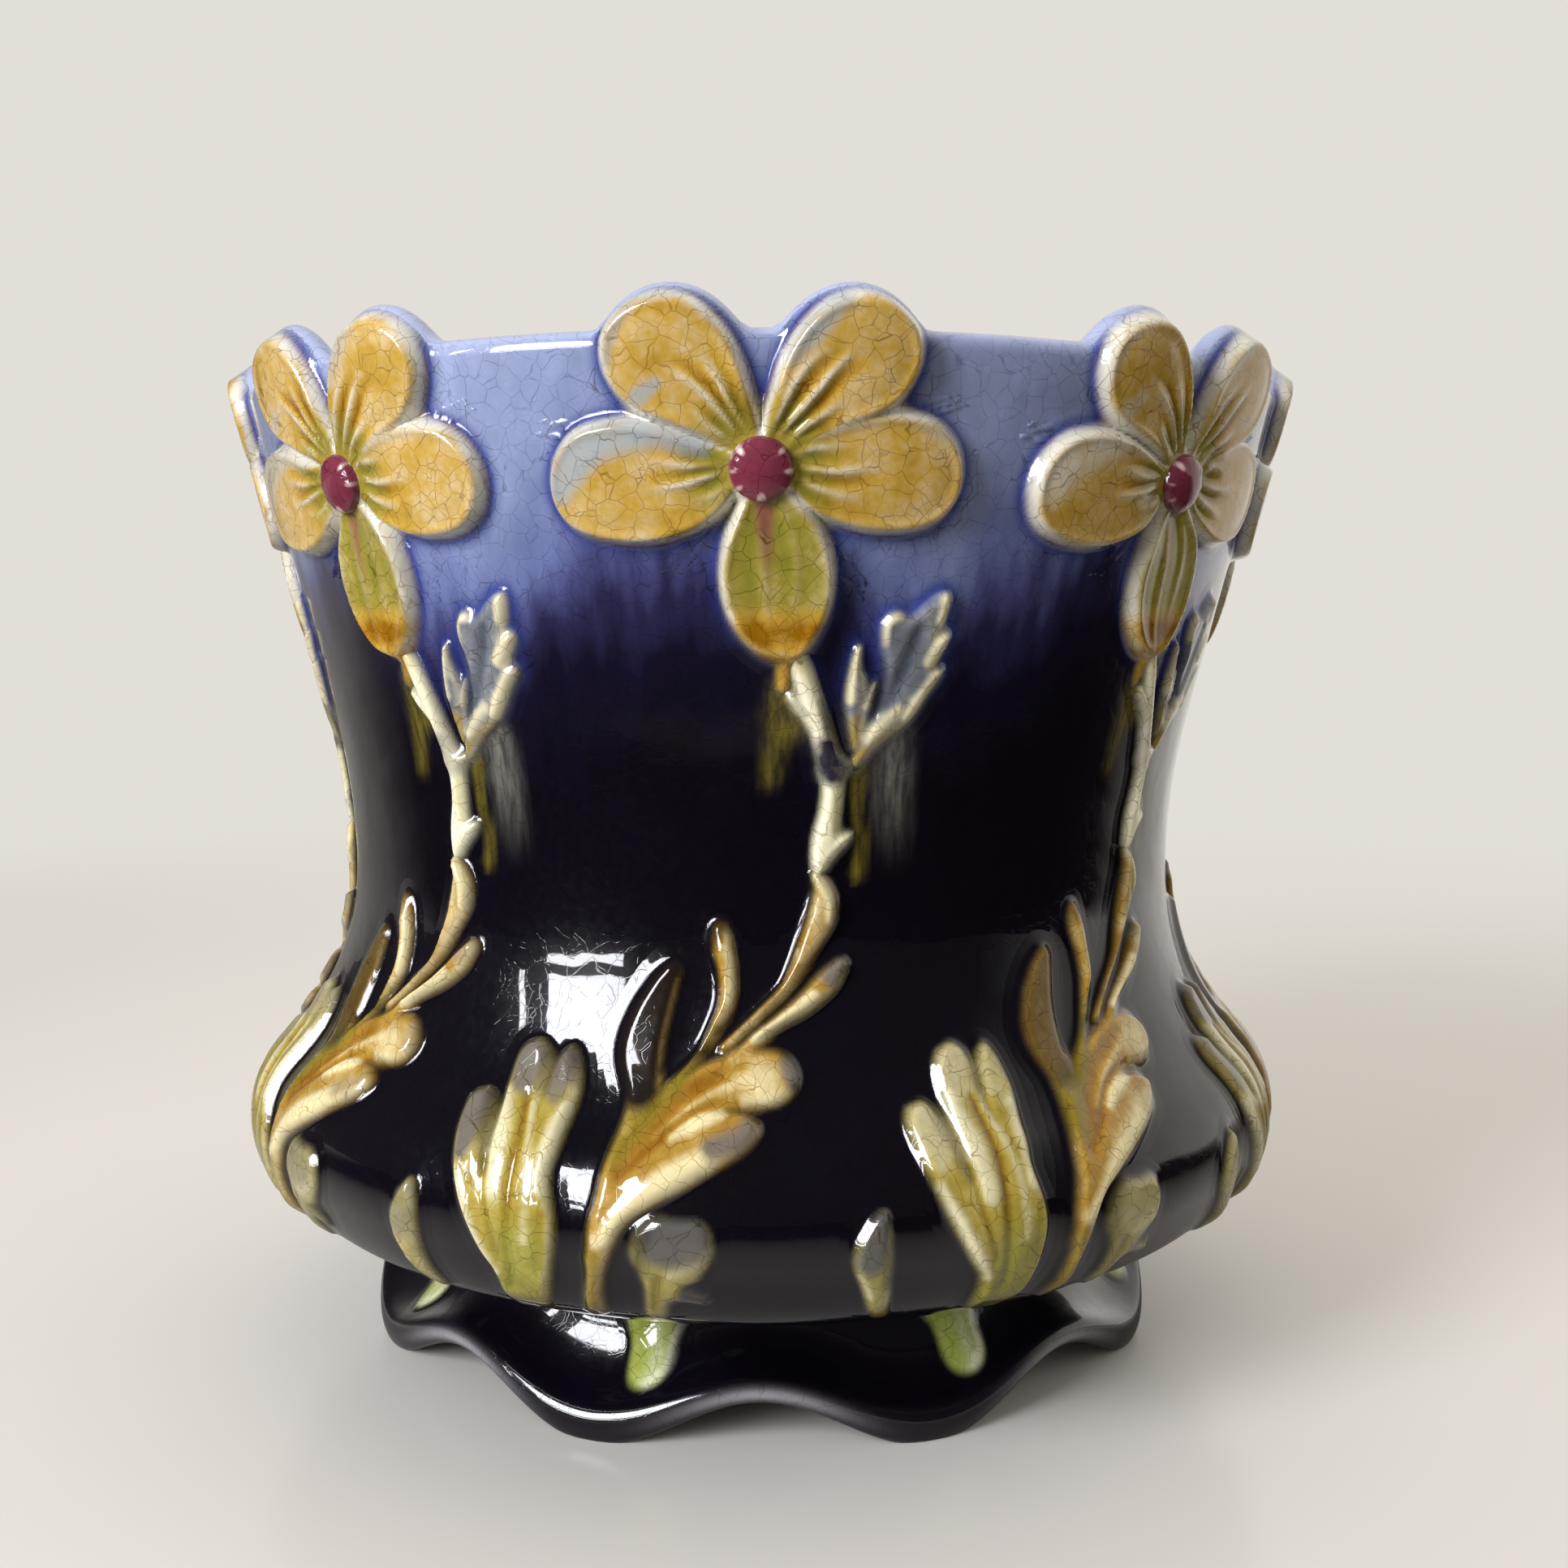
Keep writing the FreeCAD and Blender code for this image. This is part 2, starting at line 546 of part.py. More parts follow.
def petal_lobe(angle, kind):
    length, half = size(f"{kind}_petal_length"), size(f"{kind}_petal_width") / 2
    lean = math.radians(angle)
    spine = [
        (length * along * math.sin(lean), size("eye_height") + length * along * math.cos(lean), half * wide)
        for along, wide in (LOWER_PETAL_SHARES if kind == "lower" else PETAL_SHARES)
    ]
    return relief_lobe(spine, size("petal_relief"), PETAL_SECTION_SHARES)


def flower_shape(core):
    """Five petals joined on a hub, with a flat round seat for the eye."""
    depth = size("hub_relief") + size("relief_root")
    hub = Part.makeCylinder(size("hub_radius"), depth, eye_seat, eye_facing * -1)
    seat = Part.makeCylinder(size("hub_radius"), size("petal_relief"), eye_seat, eye_facing)
    petals = [petal_lobe(angle, kind) for angle, kind in PETALS]
    return seated([hub] + petals, core, seat)


def turned(unit):
    about_axis = FreeCAD.Rotation(FreeCAD.Vector(0, 0, 1), unit * UNIT_ANGLE)
    return FreeCAD.Placement(FreeCAD.Vector(0, 0, 0), about_axis)


def make_eye(unit):
    """Domed eye of one flower, turned from half a section, standing on the flower's seat."""
    radius, dome = size("eye_radius"), size("eye_dome")
    ball = (radius**2 + dome**2) / (2 * dome)
    body = doc.addObject("PartDesign::Body", f"flower_eye_{unit + 1}")
    body.Label = f"flower_eye_{unit + 1}"
    sketch = new_sketch(body, f"eye_section_{unit + 1}", "XZ_Plane")
    shapes = [
        line_between((0, 0), (radius, 0)),
        arc_between((0, dome - ball), ball, math.asin((ball - dome) / ball), math.pi / 2),
        line_between((0, dome), (0, 0)),
    ]
    base, cap, axis = [sketch.addGeometry(shape, False) for shape in shapes]
    start, end, centre = 1, 2, 3
    joins = [(base, end, cap, start), (cap, end, axis, start), (axis, end, base, start), (base, start, -1, 1)]
    for places in joins:
        sketch.addConstraint(Sketcher.Constraint("Coincident", *places))
    sketch.addConstraint(Sketcher.Constraint("Horizontal", base))
    sketch.addConstraint(Sketcher.Constraint("Vertical", axis))
    sketch.addConstraint(Sketcher.Constraint("PointOnObject", cap, centre, -2))
    bind(sketch, "DistanceX", (base, start, base, end), radius, "Sizes.eye_radius")
    bind(sketch, "DistanceY", (axis, end, axis, start), dome, "Sizes.eye_dome")
    ball_turn = body.newObject("PartDesign::Revolution", f"eye_dome_{unit + 1}")
    ball_turn.Profile = sketch
    ball_turn.ReferenceAxis = (sketch, ["V_Axis"])
    ball_turn.Angle = 360
    stand = FreeCAD.Placement(eye_seat, FreeCAD.Rotation(FreeCAD.Vector(0, 0, 1), eye_facing))
    body.Placement = turned(unit).multiply(stand)
    return body


# Tongues of leaf on the foot: across, height and half width
# as shares of the tongue's width and the foot's height
TONGUE_SHARES = [
    (0.00, 0.97, 0.55), (0.00, 0.86, 0.60), (0.00, 0.72, 0.50),
    (0.02, 0.58, 0.42), (0.05, 0.46, 0.38), (0.10, 0.36, 0.20),
]


def on_foot(across, z, height):
    """Point a height above the outside of the foot, an arc length across from an arch."""
    turn = across / size("neck_radius")
    points = [foot_point(shares, turn) for shares in FOOT_RING_SHARES[:TONGUE_RINGS]]
    ring = next(i for i in range(len(points) - 1) if points[i + 1].z <= z or i == len(points) - 2)
    upper, lower = points[ring], points[ring + 1]
    spot = upper + (lower - upper) * ((upper.z - z) / (upper.z - lower.z))
    outward = FreeCAD.Vector(math.sin(turn), -math.cos(turn), 0)
    run = (lower - upper).dot(outward)
    fall = upper.z - lower.z
    slope = math.hypot(run, fall)
    return spot + outward * (height * fall / slope) + FreeCAD.Vector(0, 0, height * run / slope)


def tongue_shape(foot):
    across = math.radians(size("tongue_angle")) * size("neck_radius")
    width = size("tongue_width")
    spine = [(across + side * width, up * underside_z, half * width) for side, up, half in TONGUE_SHARES]
    return seated([relief_lobe(spine, size("tongue_relief"), ROUND_SECTION_SHARES, on_foot)], foot)


# Build every piece
def add_piece(label, shape, unit=0):
    piece = doc.addObject("Part::Feature", label)
    piece.Label = label
    piece.Shape = shape
    piece.Placement = turned(unit)
    return piece


def add_units(label, shape):
    return [add_piece(f"{label}_{unit + 1}", shape, unit) for unit in range(UNITS)]


def add_group(label, shape):
    copies = []
    for unit in range(UNITS):
        copy = shape.copy()
        copy.Placement = turned(unit)
        copies.append(copy)
    return add_piece(label, Part.Compound(copies))


core = wall_core()
pieces = [make_pot_body(), make_foot_skirt()]
flower = flower_shape(core)
acanthus = seated(
    leaf_lobes("acanthus", ACANTHUS_BROAD_SHARES, RIBBED_SECTION_SHARES)
    + leaf_lobes("acanthus", ACANTHUS_FINGER_SHARES, ROUND_SECTION_SHARES),
    core,
)
stem = seated(leaf_lobes("stem", STEM_SHARES, ROUND_SECTION_SHARES), core, flower, acanthus)
upper_leaf = seated(leaf_lobes("upper_leaf", UPPER_LEAF_SHARES, ROUND_SECTION_SHARES), core, stem)
side_leaf = seated(leaf_lobes("side_leaf", SIDE_LEAF_SHARES, RIBBED_SECTION_SHARES), core, acanthus)
bract = seated(leaf_lobes("bract", BRACT_SHARES, ROUND_SECTION_SHARES), core, acanthus)
small_bract = seated(
    leaf_lobes("bract", SMALL_BRACT_SHARES, ROUND_SECTION_SHARES, across_name="small_bract"), core
)
tongue = tongue_shape(pieces[1].Shape)
pieces += add_units("flower", flower)
pieces += [make_eye(unit) for unit in range(UNITS)]
pieces += add_units("stem", stem)
pieces += add_units("upper_leaf", upper_leaf)
pieces += add_units("acanthus_leaf", acanthus)
pieces += add_units("side_leaf", side_leaf)
pieces += [add_group("bracts", bract), add_group("small_bracts", small_bract)]
pieces.append(add_group("foot_tongues", tongue))
doc.recompute()

# Check every object and piece, then write the pieces
for item in doc.Objects:
    if {"Invalid", "Error"} & set(item.State):
        raise RuntimeError(f"{item.Label} failed: {item.State}")
for piece in pieces:
    if piece.Shape.isNull() or not piece.Shape.isValid() or not piece.Shape.Solids:
        raise RuntimeError(f"{piece.Label} has no valid solid")
os.makedirs("parts", exist_ok=True)
for piece in pieces:
    piece.Shape.exportStep(f"parts/{piece.Label}.step")
print(f"{len(pieces)} pieces written")
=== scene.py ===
import math

import bmesh
import bpy
import numpy as np
from mathutils import Matrix, Vector


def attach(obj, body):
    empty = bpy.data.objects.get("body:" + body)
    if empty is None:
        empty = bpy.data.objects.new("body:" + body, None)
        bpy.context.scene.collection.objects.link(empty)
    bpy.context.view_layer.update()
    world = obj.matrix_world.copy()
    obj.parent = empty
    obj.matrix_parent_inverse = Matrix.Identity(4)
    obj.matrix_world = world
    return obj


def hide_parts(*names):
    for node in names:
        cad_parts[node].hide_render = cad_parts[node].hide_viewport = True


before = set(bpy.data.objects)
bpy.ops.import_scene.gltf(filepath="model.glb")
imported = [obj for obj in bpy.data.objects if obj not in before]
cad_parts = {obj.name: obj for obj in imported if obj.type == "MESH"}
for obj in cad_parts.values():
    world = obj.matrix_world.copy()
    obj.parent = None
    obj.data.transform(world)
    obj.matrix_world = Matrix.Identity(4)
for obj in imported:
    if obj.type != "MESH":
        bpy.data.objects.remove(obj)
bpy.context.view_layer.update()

# Sizes of the pot in millimetres, as the solids have them, but for the humps of the rim that follow the photo
MM = 0.001
UNITS = 8
UNDERSIDE, FLOOR, WALL = 27.0, 32.0, 5.0
BULGE_CENTRE, BULGE_ARC = (86.0, 47.0), 20.0
SHOULDER_Z = 60.79
WAIST_Z, WAIST_CENTRE, WAIST_ARC = 97.0, 138.5, 52.5
FLARE_CENTRE, FLARE_ARC, FLARE_TOP, FLARE_TOP_RADIUS = 216.0, 130.0, 128.12, 89.78
FLARE_SLOPE = math.tan(math.radians(13.85))
RIM_Z, HUMP_TOP, HUMP_RADIUS, HUMP_OUT = 191.5, 198.3, 12.4, 14.5
RIM_RADIUS = 105.4
LIP = WALL / 2
EYE_Z = 171.0
NECK_RADIUS, FOOT_SPREAD = 71.0, 12.0
HUB_RADIUS, HUB_HEIGHT = 6.0, 2.1
EYE_RADIUS, EYE_DOME = 5.0, 2.7
# A sheet of relief reaches this far past its outline, and its back lies this deep in the wall
APRON_REACH, BACK_DEPTH = 5.2, 1.4
# Step for slopes along the wall, steps round the pot and the foot, and points round the foot's section
SLOPE_STEP = 0.02
POT_STEPS, FOOT_STEPS, FOOT_POINTS = 400, 480, 96


def smooth(value, low, high):
    """Goes from 0 to 1 between two values with a soft start and end."""
    share = np.clip((value - low) / (high - low), 0, 1)
    return share * share * (3 - 2 * share)


def max_of(fields):
    return np.max(np.array(list(fields)), axis=0)


# The turned wall
def wall_radius(z):
    z = np.asarray(z, float)
    bulge = BULGE_CENTRE[0] + np.sqrt(np.clip(BULGE_ARC ** 2 - (z - BULGE_CENTRE[1]) ** 2, 0, None))
    waist = WAIST_CENTRE - np.sqrt(np.clip(WAIST_ARC ** 2 - (z - WAIST_Z) ** 2, 1, None))
    flare = FLARE_CENTRE - np.sqrt(np.clip(FLARE_ARC ** 2 - (z - WAIST_Z) ** 2, 1, None))
    cone = FLARE_TOP_RADIUS + (z - FLARE_TOP) * FLARE_SLOPE
    return np.select([z < SHOULDER_Z, z < WAIST_Z, z < FLARE_TOP], [bulge, waist, flare], cone)


def wall_slope(z):
    return (wall_radius(z + SLOPE_STEP) - wall_radius(z - SLOPE_STEP)) / (2 * SLOPE_STEP)


def rim_lift(across):
    """How far the lip rises over the two upper petals of a flower, an arc length from its centre."""
    inside = np.clip(HUMP_RADIUS ** 2 - (np.abs(across) - HUMP_OUT) ** 2, 0, None)
    rise = HUMP_TOP - HUMP_RADIUS + np.sqrt(inside) - RIM_Z
    soft = 1.5
    return soft * np.log1p(np.exp(rise / soft))


def on_wall(across, z, height):
    """Places above the outside of the pot, which rounds over at the lip; the unit faces -Y."""
    radius = wall_radius(z)
    slope = wall_slope(z)
    length = np.sqrt(1 + slope ** 2)
    below_lip = np.clip(LIP - (RIM_Z + rim_lift(across) - z), 0, LIP)
    height = height - (LIP - np.sqrt(LIP ** 2 - below_lip ** 2))
    turn = across / radius
    reach = radius + height / length
    return np.stack([reach * np.sin(turn), -reach * np.cos(turn), z - height * slope / length], 1)


# The frilled foot, from the same rings as the solid: spread and height at an arch, then at a lobe
FOOT_RINGS = np.array([
    (0.00, 1.00, 0.00, 1.00), (-0.03, 0.85, -0.03, 0.82), (0.05, 0.71, 0.06, 0.60), (0.30, 0.59, 0.36, 0.38),
    (0.58, 0.53, 0.74, 0.27), (0.84, 0.50, 1.00, 0.22), (0.95, 0.42, 1.08, 0.11), (0.82, 0.33, 0.97, -0.02),
    (0.66, 0.30, 0.79, -0.07), (0.48, 0.34, 0.58, 0.00), (0.18, 0.44, 0.20, 0.22), (-0.25, 0.62, -0.25, 0.50),
    (-0.52, 0.85, -0.52, 0.83), (-0.55, 1.00, -0.55, 1.00),
])
FOOT_LIP_RING = 6.3


def foot_section(ring):
    """Spread and height shares at a place along the rings, on a soft curve that they steer."""
    padded = np.concatenate([FOOT_RINGS[:1], FOOT_RINGS[:1], FOOT_RINGS, FOOT_RINGS[-1:], FOOT_RINGS[-1:]])
    place = np.clip(np.asarray(ring, float), 0, len(FOOT_RINGS) - 1) + 1
    first = np.minimum(place.astype(int), len(padded) - 4)
    t = (place - first)[..., None]
    weights = [(1 - t) ** 3, 3 * t ** 3 - 6 * t ** 2 + 4, -3 * t ** 3 + 3 * t ** 2 + 3 * t + 1, t ** 3]
    return sum(w * padded[first + k] for k, w in enumerate(weights)) / 6


def foot_place(turn, ring, height=0.0):
    """Places on the foot, turned from the front, with a height above its outside."""
    lobe = (1 - np.cos(UNITS * turn)) / 2

    def at(step):
        shares = foot_section(np.asarray(ring, float) + step)
        spread = shares[..., 0] + (shares[..., 2] - shares[..., 0]) * lobe
        level = shares[..., 1] + (shares[..., 3] - shares[..., 1]) * lobe
        return NECK_RADIUS + FOOT_SPREAD * spread, np.maximum(UNDERSIDE * level, 0)

    reach, z = at(0)
    ahead, behind = at(0.05), at(-0.05)
    along_r, along_z = ahead[0] - behind[0], ahead[1] - behind[1]
    length = np.maximum(np.hypot(along_r, along_z), 1e-6)
    reach = reach - height * along_z / length
    z = z + height * along_r / length
    return np.stack([reach * np.sin(turn), -reach * np.cos(turn), z], -1)


# Lobes are chains of circles; the numbers are across, height and half-width in millimetres
def lobe_field(x, z, chain):
    """Distance outside a lobe, share of the way along it, and place across it from -1 to 1."""
    chain = np.array(chain, float)
    count = len(chain)
    ends = np.concatenate([2 * chain[:1] - chain[1:2], chain, 2 * chain[-1:] - chain[-2:-1]])
    steps = np.linspace(0, count - 1, 14 * (count - 1) + 1)
    first = np.minimum(steps.astype(int), count - 2)
    t = (steps - first)[:, None]
    a, b, c, d = (ends[first + k] for k in range(4))
    line = b + 0.5 * t * (c - a + t * (2 * a - 5 * b + 4 * c - d + t * (3 * (b - c) + d - a)))
    line[:, 2] = np.maximum(line[:, 2], 0.25)
    best = np.full(x.shape, 1e9)
    nearest = np.zeros(x.shape, int)
    for k, (lx, lz, half) in enumerate(line):
        outside = np.hypot(x - lx, z - lz) - half
        closer = outside < best
        best[closer] = outside[closer]
        nearest[closer] = k
    way = np.gradient(line[:, :2], axis=0)
    way /= np.maximum(np.hypot(way[:, 0], way[:, 1]), 1e-6)[:, None]
    lateral = (x - line[nearest, 0]) * way[nearest, 1] - (z - line[nearest, 1]) * way[nearest, 0]
    return best, nearest / (len(line) - 1), np.clip(lateral / line[nearest, 2], -1.2, 1.2)


def apron(outside):
    """The glaze round a relief: a soft hollow that runs out into the wall."""
    return 0.28 * np.exp(-np.clip(outside, 0, None) / 1.3) - 0.12 * smooth(outside, 1.5, 5.0)


def pooled_line(outside):
    """Where the ground glaze is thick, at the foot of a relief."""
    return smooth(outside, -0.5, 0.2) * np.exp(-(np.clip(outside, 0, None) / 1.5) ** 2)


def stroke(x, z, soft, chain):
    """A brush stroke: 1 along its chain of circles, fading out over a soft edge."""
    return smooth(-lobe_field(x, z, chain)[0], -soft, 0.7 * soft)


# Olive glaze that ran down the wall in the firing: how strongly, its soft edge and its chain; then a pale fan
OLIVE_RUNS = [
    (1.0, 1.2, [(3.6, 142.5, 1.2), (4, 137.5, 1.5)]),
    (0.8, 2.6, [(4, 136, 1.8), (4.6, 131.5, 3), (2.6, 127, 1.2), (1.4, 120.5, 0.4)]),
    (0.8, 1.1, [(17, 125, 1), (16.4, 120.5, 1.1), (16.1, 115, 0.7), (17, 109.5, 0.8), (16.4, 104, 0.8)]),
    (0.7, 1.2, [(-37, 30.5, 0.7), (-25, 29.5, 0.6), (-10, 30, 0.7)]),
]
PALE_FAN = [(22.8, 127.5, 1.4), (22.2, 121, 2.4), (22.6, 112, 2.2), (23, 104, 1.4)]


def wall_runs(x, z):
    pale = 0.75 * stroke(x, z, 3.0, PALE_FAN) * smooth(z, 103, 125)
    return pale, max_of(amount * stroke(x, z, soft, chain) for amount, soft, chain in OLIVE_RUNS)


# Petals of a flower, each from its middle to its tip
UPPER_PETAL = [(1.5, 174, 2.6), (6, 179.5, 5.4), (10.6, 184.6, 8.3), (14.6, 187.6, 9.6), (16.6, 188.6, 8.7)]
PETALS = {
    "upper_left": [(-across, z, half) for across, z, half in UPPER_PETAL],
    "upper_right": UPPER_PETAL,
    "left": [(-3.5, 171, 2.6), (-7.5, 169.8, 4.9), (-12, 168.7, 7.6), (-17.5, 168.7, 9.5), (-22, 169.1, 9.8),
             (-24.9, 169.3, 9.3)],
    "right": [(3.5, 171.4, 2.6), (7.5, 170.8, 4.9), (12, 170.4, 7.6), (17, 170.4, 9.4), (21, 170.5, 9.7),
              (23.3, 170.5, 9.3)],
    "lower": [(0.4, 167, 3.2), (1.6, 162.6, 6.2), (2.4, 157, 9), (2.6, 152.4, 9.2), (2.9, 148, 7.2),
              (3.8, 144, 4.2), (4.4, 141.6, 1.8), (4, 138.6, 1.4), (3.6, 136.4, 1)],
}
# Ridges that fan out from the middle of each petal: place across it, and how far along it they run
PETAL_RIDGES = {
    "upper_left": [(-0.4, 0.42), (-0.05, 0.72), (0.36, 0.6)],
    "upper_right": [(-0.44, 0.66), (-0.08, 0.78), (0.4, 0.5)],
    "left": [(-0.36, 0.4), (0.0, 0.62), (0.36, 0.66)],
    "right": [(-0.46, 0.5), (-0.08, 0.66), (0.38, 0.58)],
    "lower": [(-0.3, 0.5), (0.28, 0.7)],
}
# Pale blue-grey glaze that strayed over the petals: how strongly, its soft edge and its chain
STRAYS = [
    (0.75, 2.2, [(4.5, 187.5, 1), (8, 192, 2), (12.5, 196, 1.2)]),
    (0.9, 2.5, [(-9, 174.5, 1), (-17, 176.5, 2), (-26, 175, 3), (-31.5, 169, 2.5)]),
    (0.8, 1.6, [(-18.5, 182, 1.4), (-16, 184, 0.8)]),
    (0.6, 1.6, [(-24, 187, 0.8), (-20.5, 195, 1), (-13, 197, 0.8)]),
    (0.5, 2.0, [(13, 177.5, 0.6), (22, 179, 1), (29, 176.5, 1)]),
]
# How far each petal lies above the lowest two, then the heights that all of them share
PETAL_LIFT = {"upper_left": 0.0, "upper_right": 0.35, "left": 0.25, "right": 0.0, "lower": 0.2}
PETAL_BASE, PETAL_RISE, PETAL_SWELL, RIDGE_RISE, EDGE_RISE = 1.7, 0.9, 0.4, 0.56, 0.4
PETAL_MELT = 0.22


def flower_fields(x, z):
    """Five dished petals on a hub, with ridges and rolled edges, cut off along the lip."""
    heights, outsides, marks = [], [], []
    reach = np.hypot(x, z - EYE_Z)
    ragged = np.sin(0.5 * x + 0.3 * z) + np.sin(0.37 * z - 0.6 * x)
    for name, chain in PETALS.items():
        outside, along, across = lobe_field(x, z, chain)
        inside = -outside
        is_lower = float(name == "lower")
        body = smooth(inside, -0.7, 1.7)
        fan = smooth(reach, 5.0, 9.0) * (1 - 0.75 * is_lower)
        lines, gutters = 0 * x, 0 * x
        for spot, run in PETAL_RIDGES[name]:
            fading = 1 - smooth(along, 0.5 * run, 1.1 * run)
            bent = across - spot - 0.05 * np.sin(7 * along + 9 * spot)
            lines = lines + fading * np.exp(-(bent / 0.075) ** 2)
            gutters = gutters + fading * np.exp(-((bent - 0.19) / 0.11) ** 2)
        swollen = smooth(inside, 0.5, 6.0) * (smooth(along, 0.35, 0.9) - 0.8 * is_lower)
        hub_dip = smooth(reach, 4.5, 14.0)
        height = body * (PETAL_BASE + PETAL_RISE * hub_dip + PETAL_LIFT[name]) + PETAL_SWELL * swollen
        height = height + RIDGE_RISE * fan * (lines - 0.5 * gutters)
        height = height + EDGE_RISE * np.exp(-((inside - 1.2) / 0.9) ** 2)
        height = height * (1 - 0.75 * is_lower * (1 - smooth(z, 138.5, 143)))
        edge = np.exp(-((inside - 0.4) / (0.62 + 0.2 * ragged + 0.45 * is_lower)) ** 2) * smooth(z, 140, 144)
        crest = np.clip(edge + 0.68 * fan * lines * smooth(inside, 0.8, 2.5), 0, 1)
        pooled = np.clip(fan * gutters + is_lower * np.exp(-((z - 145.5) / 2.8) ** 2), 0, 1)
        pooled = np.maximum(pooled, 0.5 * is_lower * (1 - smooth(z, 139, 145)))
        ridge = np.clip(0.46 + 0.54 * crest - 0.44 * pooled, 0, 1)
        green = 0.8 * (1 - smooth(reach, 6.5, 17))
        green = green + is_lower * (1 - green) * 0.95 * (1 - smooth(151.5 - z, 0, 4.5))
        heights.append(height)
        outsides.append(outside)
        marks.append(np.stack([ridge, green], 1))
    heights, outsides, marks = np.array(heights), np.array(outsides), np.array(marks)
    top = heights.max(0)
    sharp = np.exp(np.clip((heights - top) / PETAL_MELT, -40, 0))
    share = sharp / sharp.sum(0)
    height = top + PETAL_MELT * np.log(sharp.sum(0)) * smooth(top, 0.1, 1.2)
    outside = -np.log(np.exp(np.clip(-outsides, -60, 60)).sum(0))
    hub = reach - HUB_RADIUS
    height = np.maximum(height, HUB_HEIGHT * smooth(-hub, -1.5, 1.2))
    outside = np.minimum(outside, hub)
    # The petals roll down to the lip and end just under it
    lip_gap = RIM_Z + rim_lift(x) - z
    height = height * np.sqrt(smooth(lip_gap, 0.45, 3.0)) - 0.9 * (1 - smooth(lip_gap, 0.1, 0.9))
    shown = smooth(lip_gap, 0.2, 1.6)
    cover = smooth(-outside, -0.55, 0.75) * shown
    pool = pooled_line(outside) * shown
    outside = np.maximum(outside, 8.0 * (0.75 - lip_gap))
    ridge, green = (share[:, :, None] * marks).sum(0).T
    tip = max_of(amount * stroke(x, z, soft, chain) for amount, soft, chain in STRAYS)
    worn = smooth(np.sin(0.23 * x - 0.31 * z) + np.sin(0.4 * x + 0.17 * z), -0.4, 1.4)
    tip = np.maximum(tip, 0.75 * worn * smooth(outside, -1.7, 0.0) * smooth(z, 150, 160))
    # A drip of the eye's glaze on the lower petal
    drip_half = 1.5 - 0.9 * smooth(167 - z, 0, 16)
    drip_line = 0.4 + 0.9 * smooth(167 - z, 0, 18)
    drip = smooth(drip_half - np.abs(x - drip_line), -0.9, 0.9)
    drip = drip * (1 - smooth(166 - z, 2, 15)) * smooth(170 - z, 0, 3)
    return {
        "height": height + apron(outside), "outside": outside,
        "glaze": np.stack([cover, tip, ridge, green], 1),
        "runs": np.stack([*wall_runs(x, z), 0.75 * drip, pool], 1),
    }


def eye_fields(x, z):
    """The boss in the middle of a flower, with a ring of small beads under its edge."""
    reach = np.hypot(x, z - EYE_Z)
    angle = np.arctan2(z - EYE_Z, x)
    outside = reach - EYE_RADIUS
    dome = np.sqrt(np.clip(1 - (reach / 5.4) ** 2, 0, 1))
    uneven = np.cos(8 * angle + 0.6 * np.sin(2 * angle)) + 0.55 * np.cos(5 * angle + 1.3)
    beads = smooth(uneven, -0.1, 1.5) * np.exp(-((reach - 4.3) / 1.1) ** 2)
    height = HUB_HEIGHT + EYE_DOME * dome * smooth(-outside, -0.4, 0.4) + 0.2 * beads
    height = height - 1.4 * smooth(outside, -0.2, 0.6)
    return {
        "height": height, "outside": outside,
        "glaze": np.stack([smooth(-outside, -0.5, 0.1), 0 * x, beads, 0 * x], 1),
        "runs": np.zeros((len(x), 4)),
    }


# The lobes that make the outline of each leaf, and the strokes of glaze laid over it: what a stroke does,
# how strongly, its soft edge and its chain
ACANTHUS = [
    [(-26.5, 48, 1.8), (-23, 57, 3.6), (-17.5, 63.5, 4.4), (-11, 68, 4.1), (-5, 70.8, 4.3), (1.2, 71.2, 4.5),
     (3, 71, 3.3)],
    [(-27.5, 44, 1.6), (-24.8, 50.5, 2.3), (-19.5, 55.5, 3.4), (-13, 59.6, 4), (-8, 62.2, 4), (-4, 63.2, 3),
     (-2, 63.5, 1.8)],
    [(-28, 33, 2.2), (-27.6, 40, 1.8), (-26, 50, 2)],
    [(-4, 74, 1), (-0.5, 77.3, 1.1), (3, 79.8, 1.3), (7, 82.5, 1.9), (10.8, 86, 2.3), (13, 88.6, 1.7)],
    [(-6.5, 75.5, 0.6), (-0.5, 81, 0.7), (3.6, 85, 0.9), (6, 89, 1.5), (8.2, 93.6, 2.3), (10, 98, 2.8),
     (10, 101.5, 2), (9, 104, 1)],
    [(-15, 69, 0.8), (-10.5, 74.4, 0.7), (-7.8, 79, 1), (-6, 83, 1.6), (-6, 88, 1.8), (-6.9, 92.3, 2.1),
     (-7.2, 94.6, 1.6)],
    [(-21.5, 60.5, 2), (-20.2, 68, 3), (-20.6, 74, 4), (-19.2, 79.5, 3.6), (-17, 84.6, 2.7),
     (-15.5, 87.4, 1.9)],
]
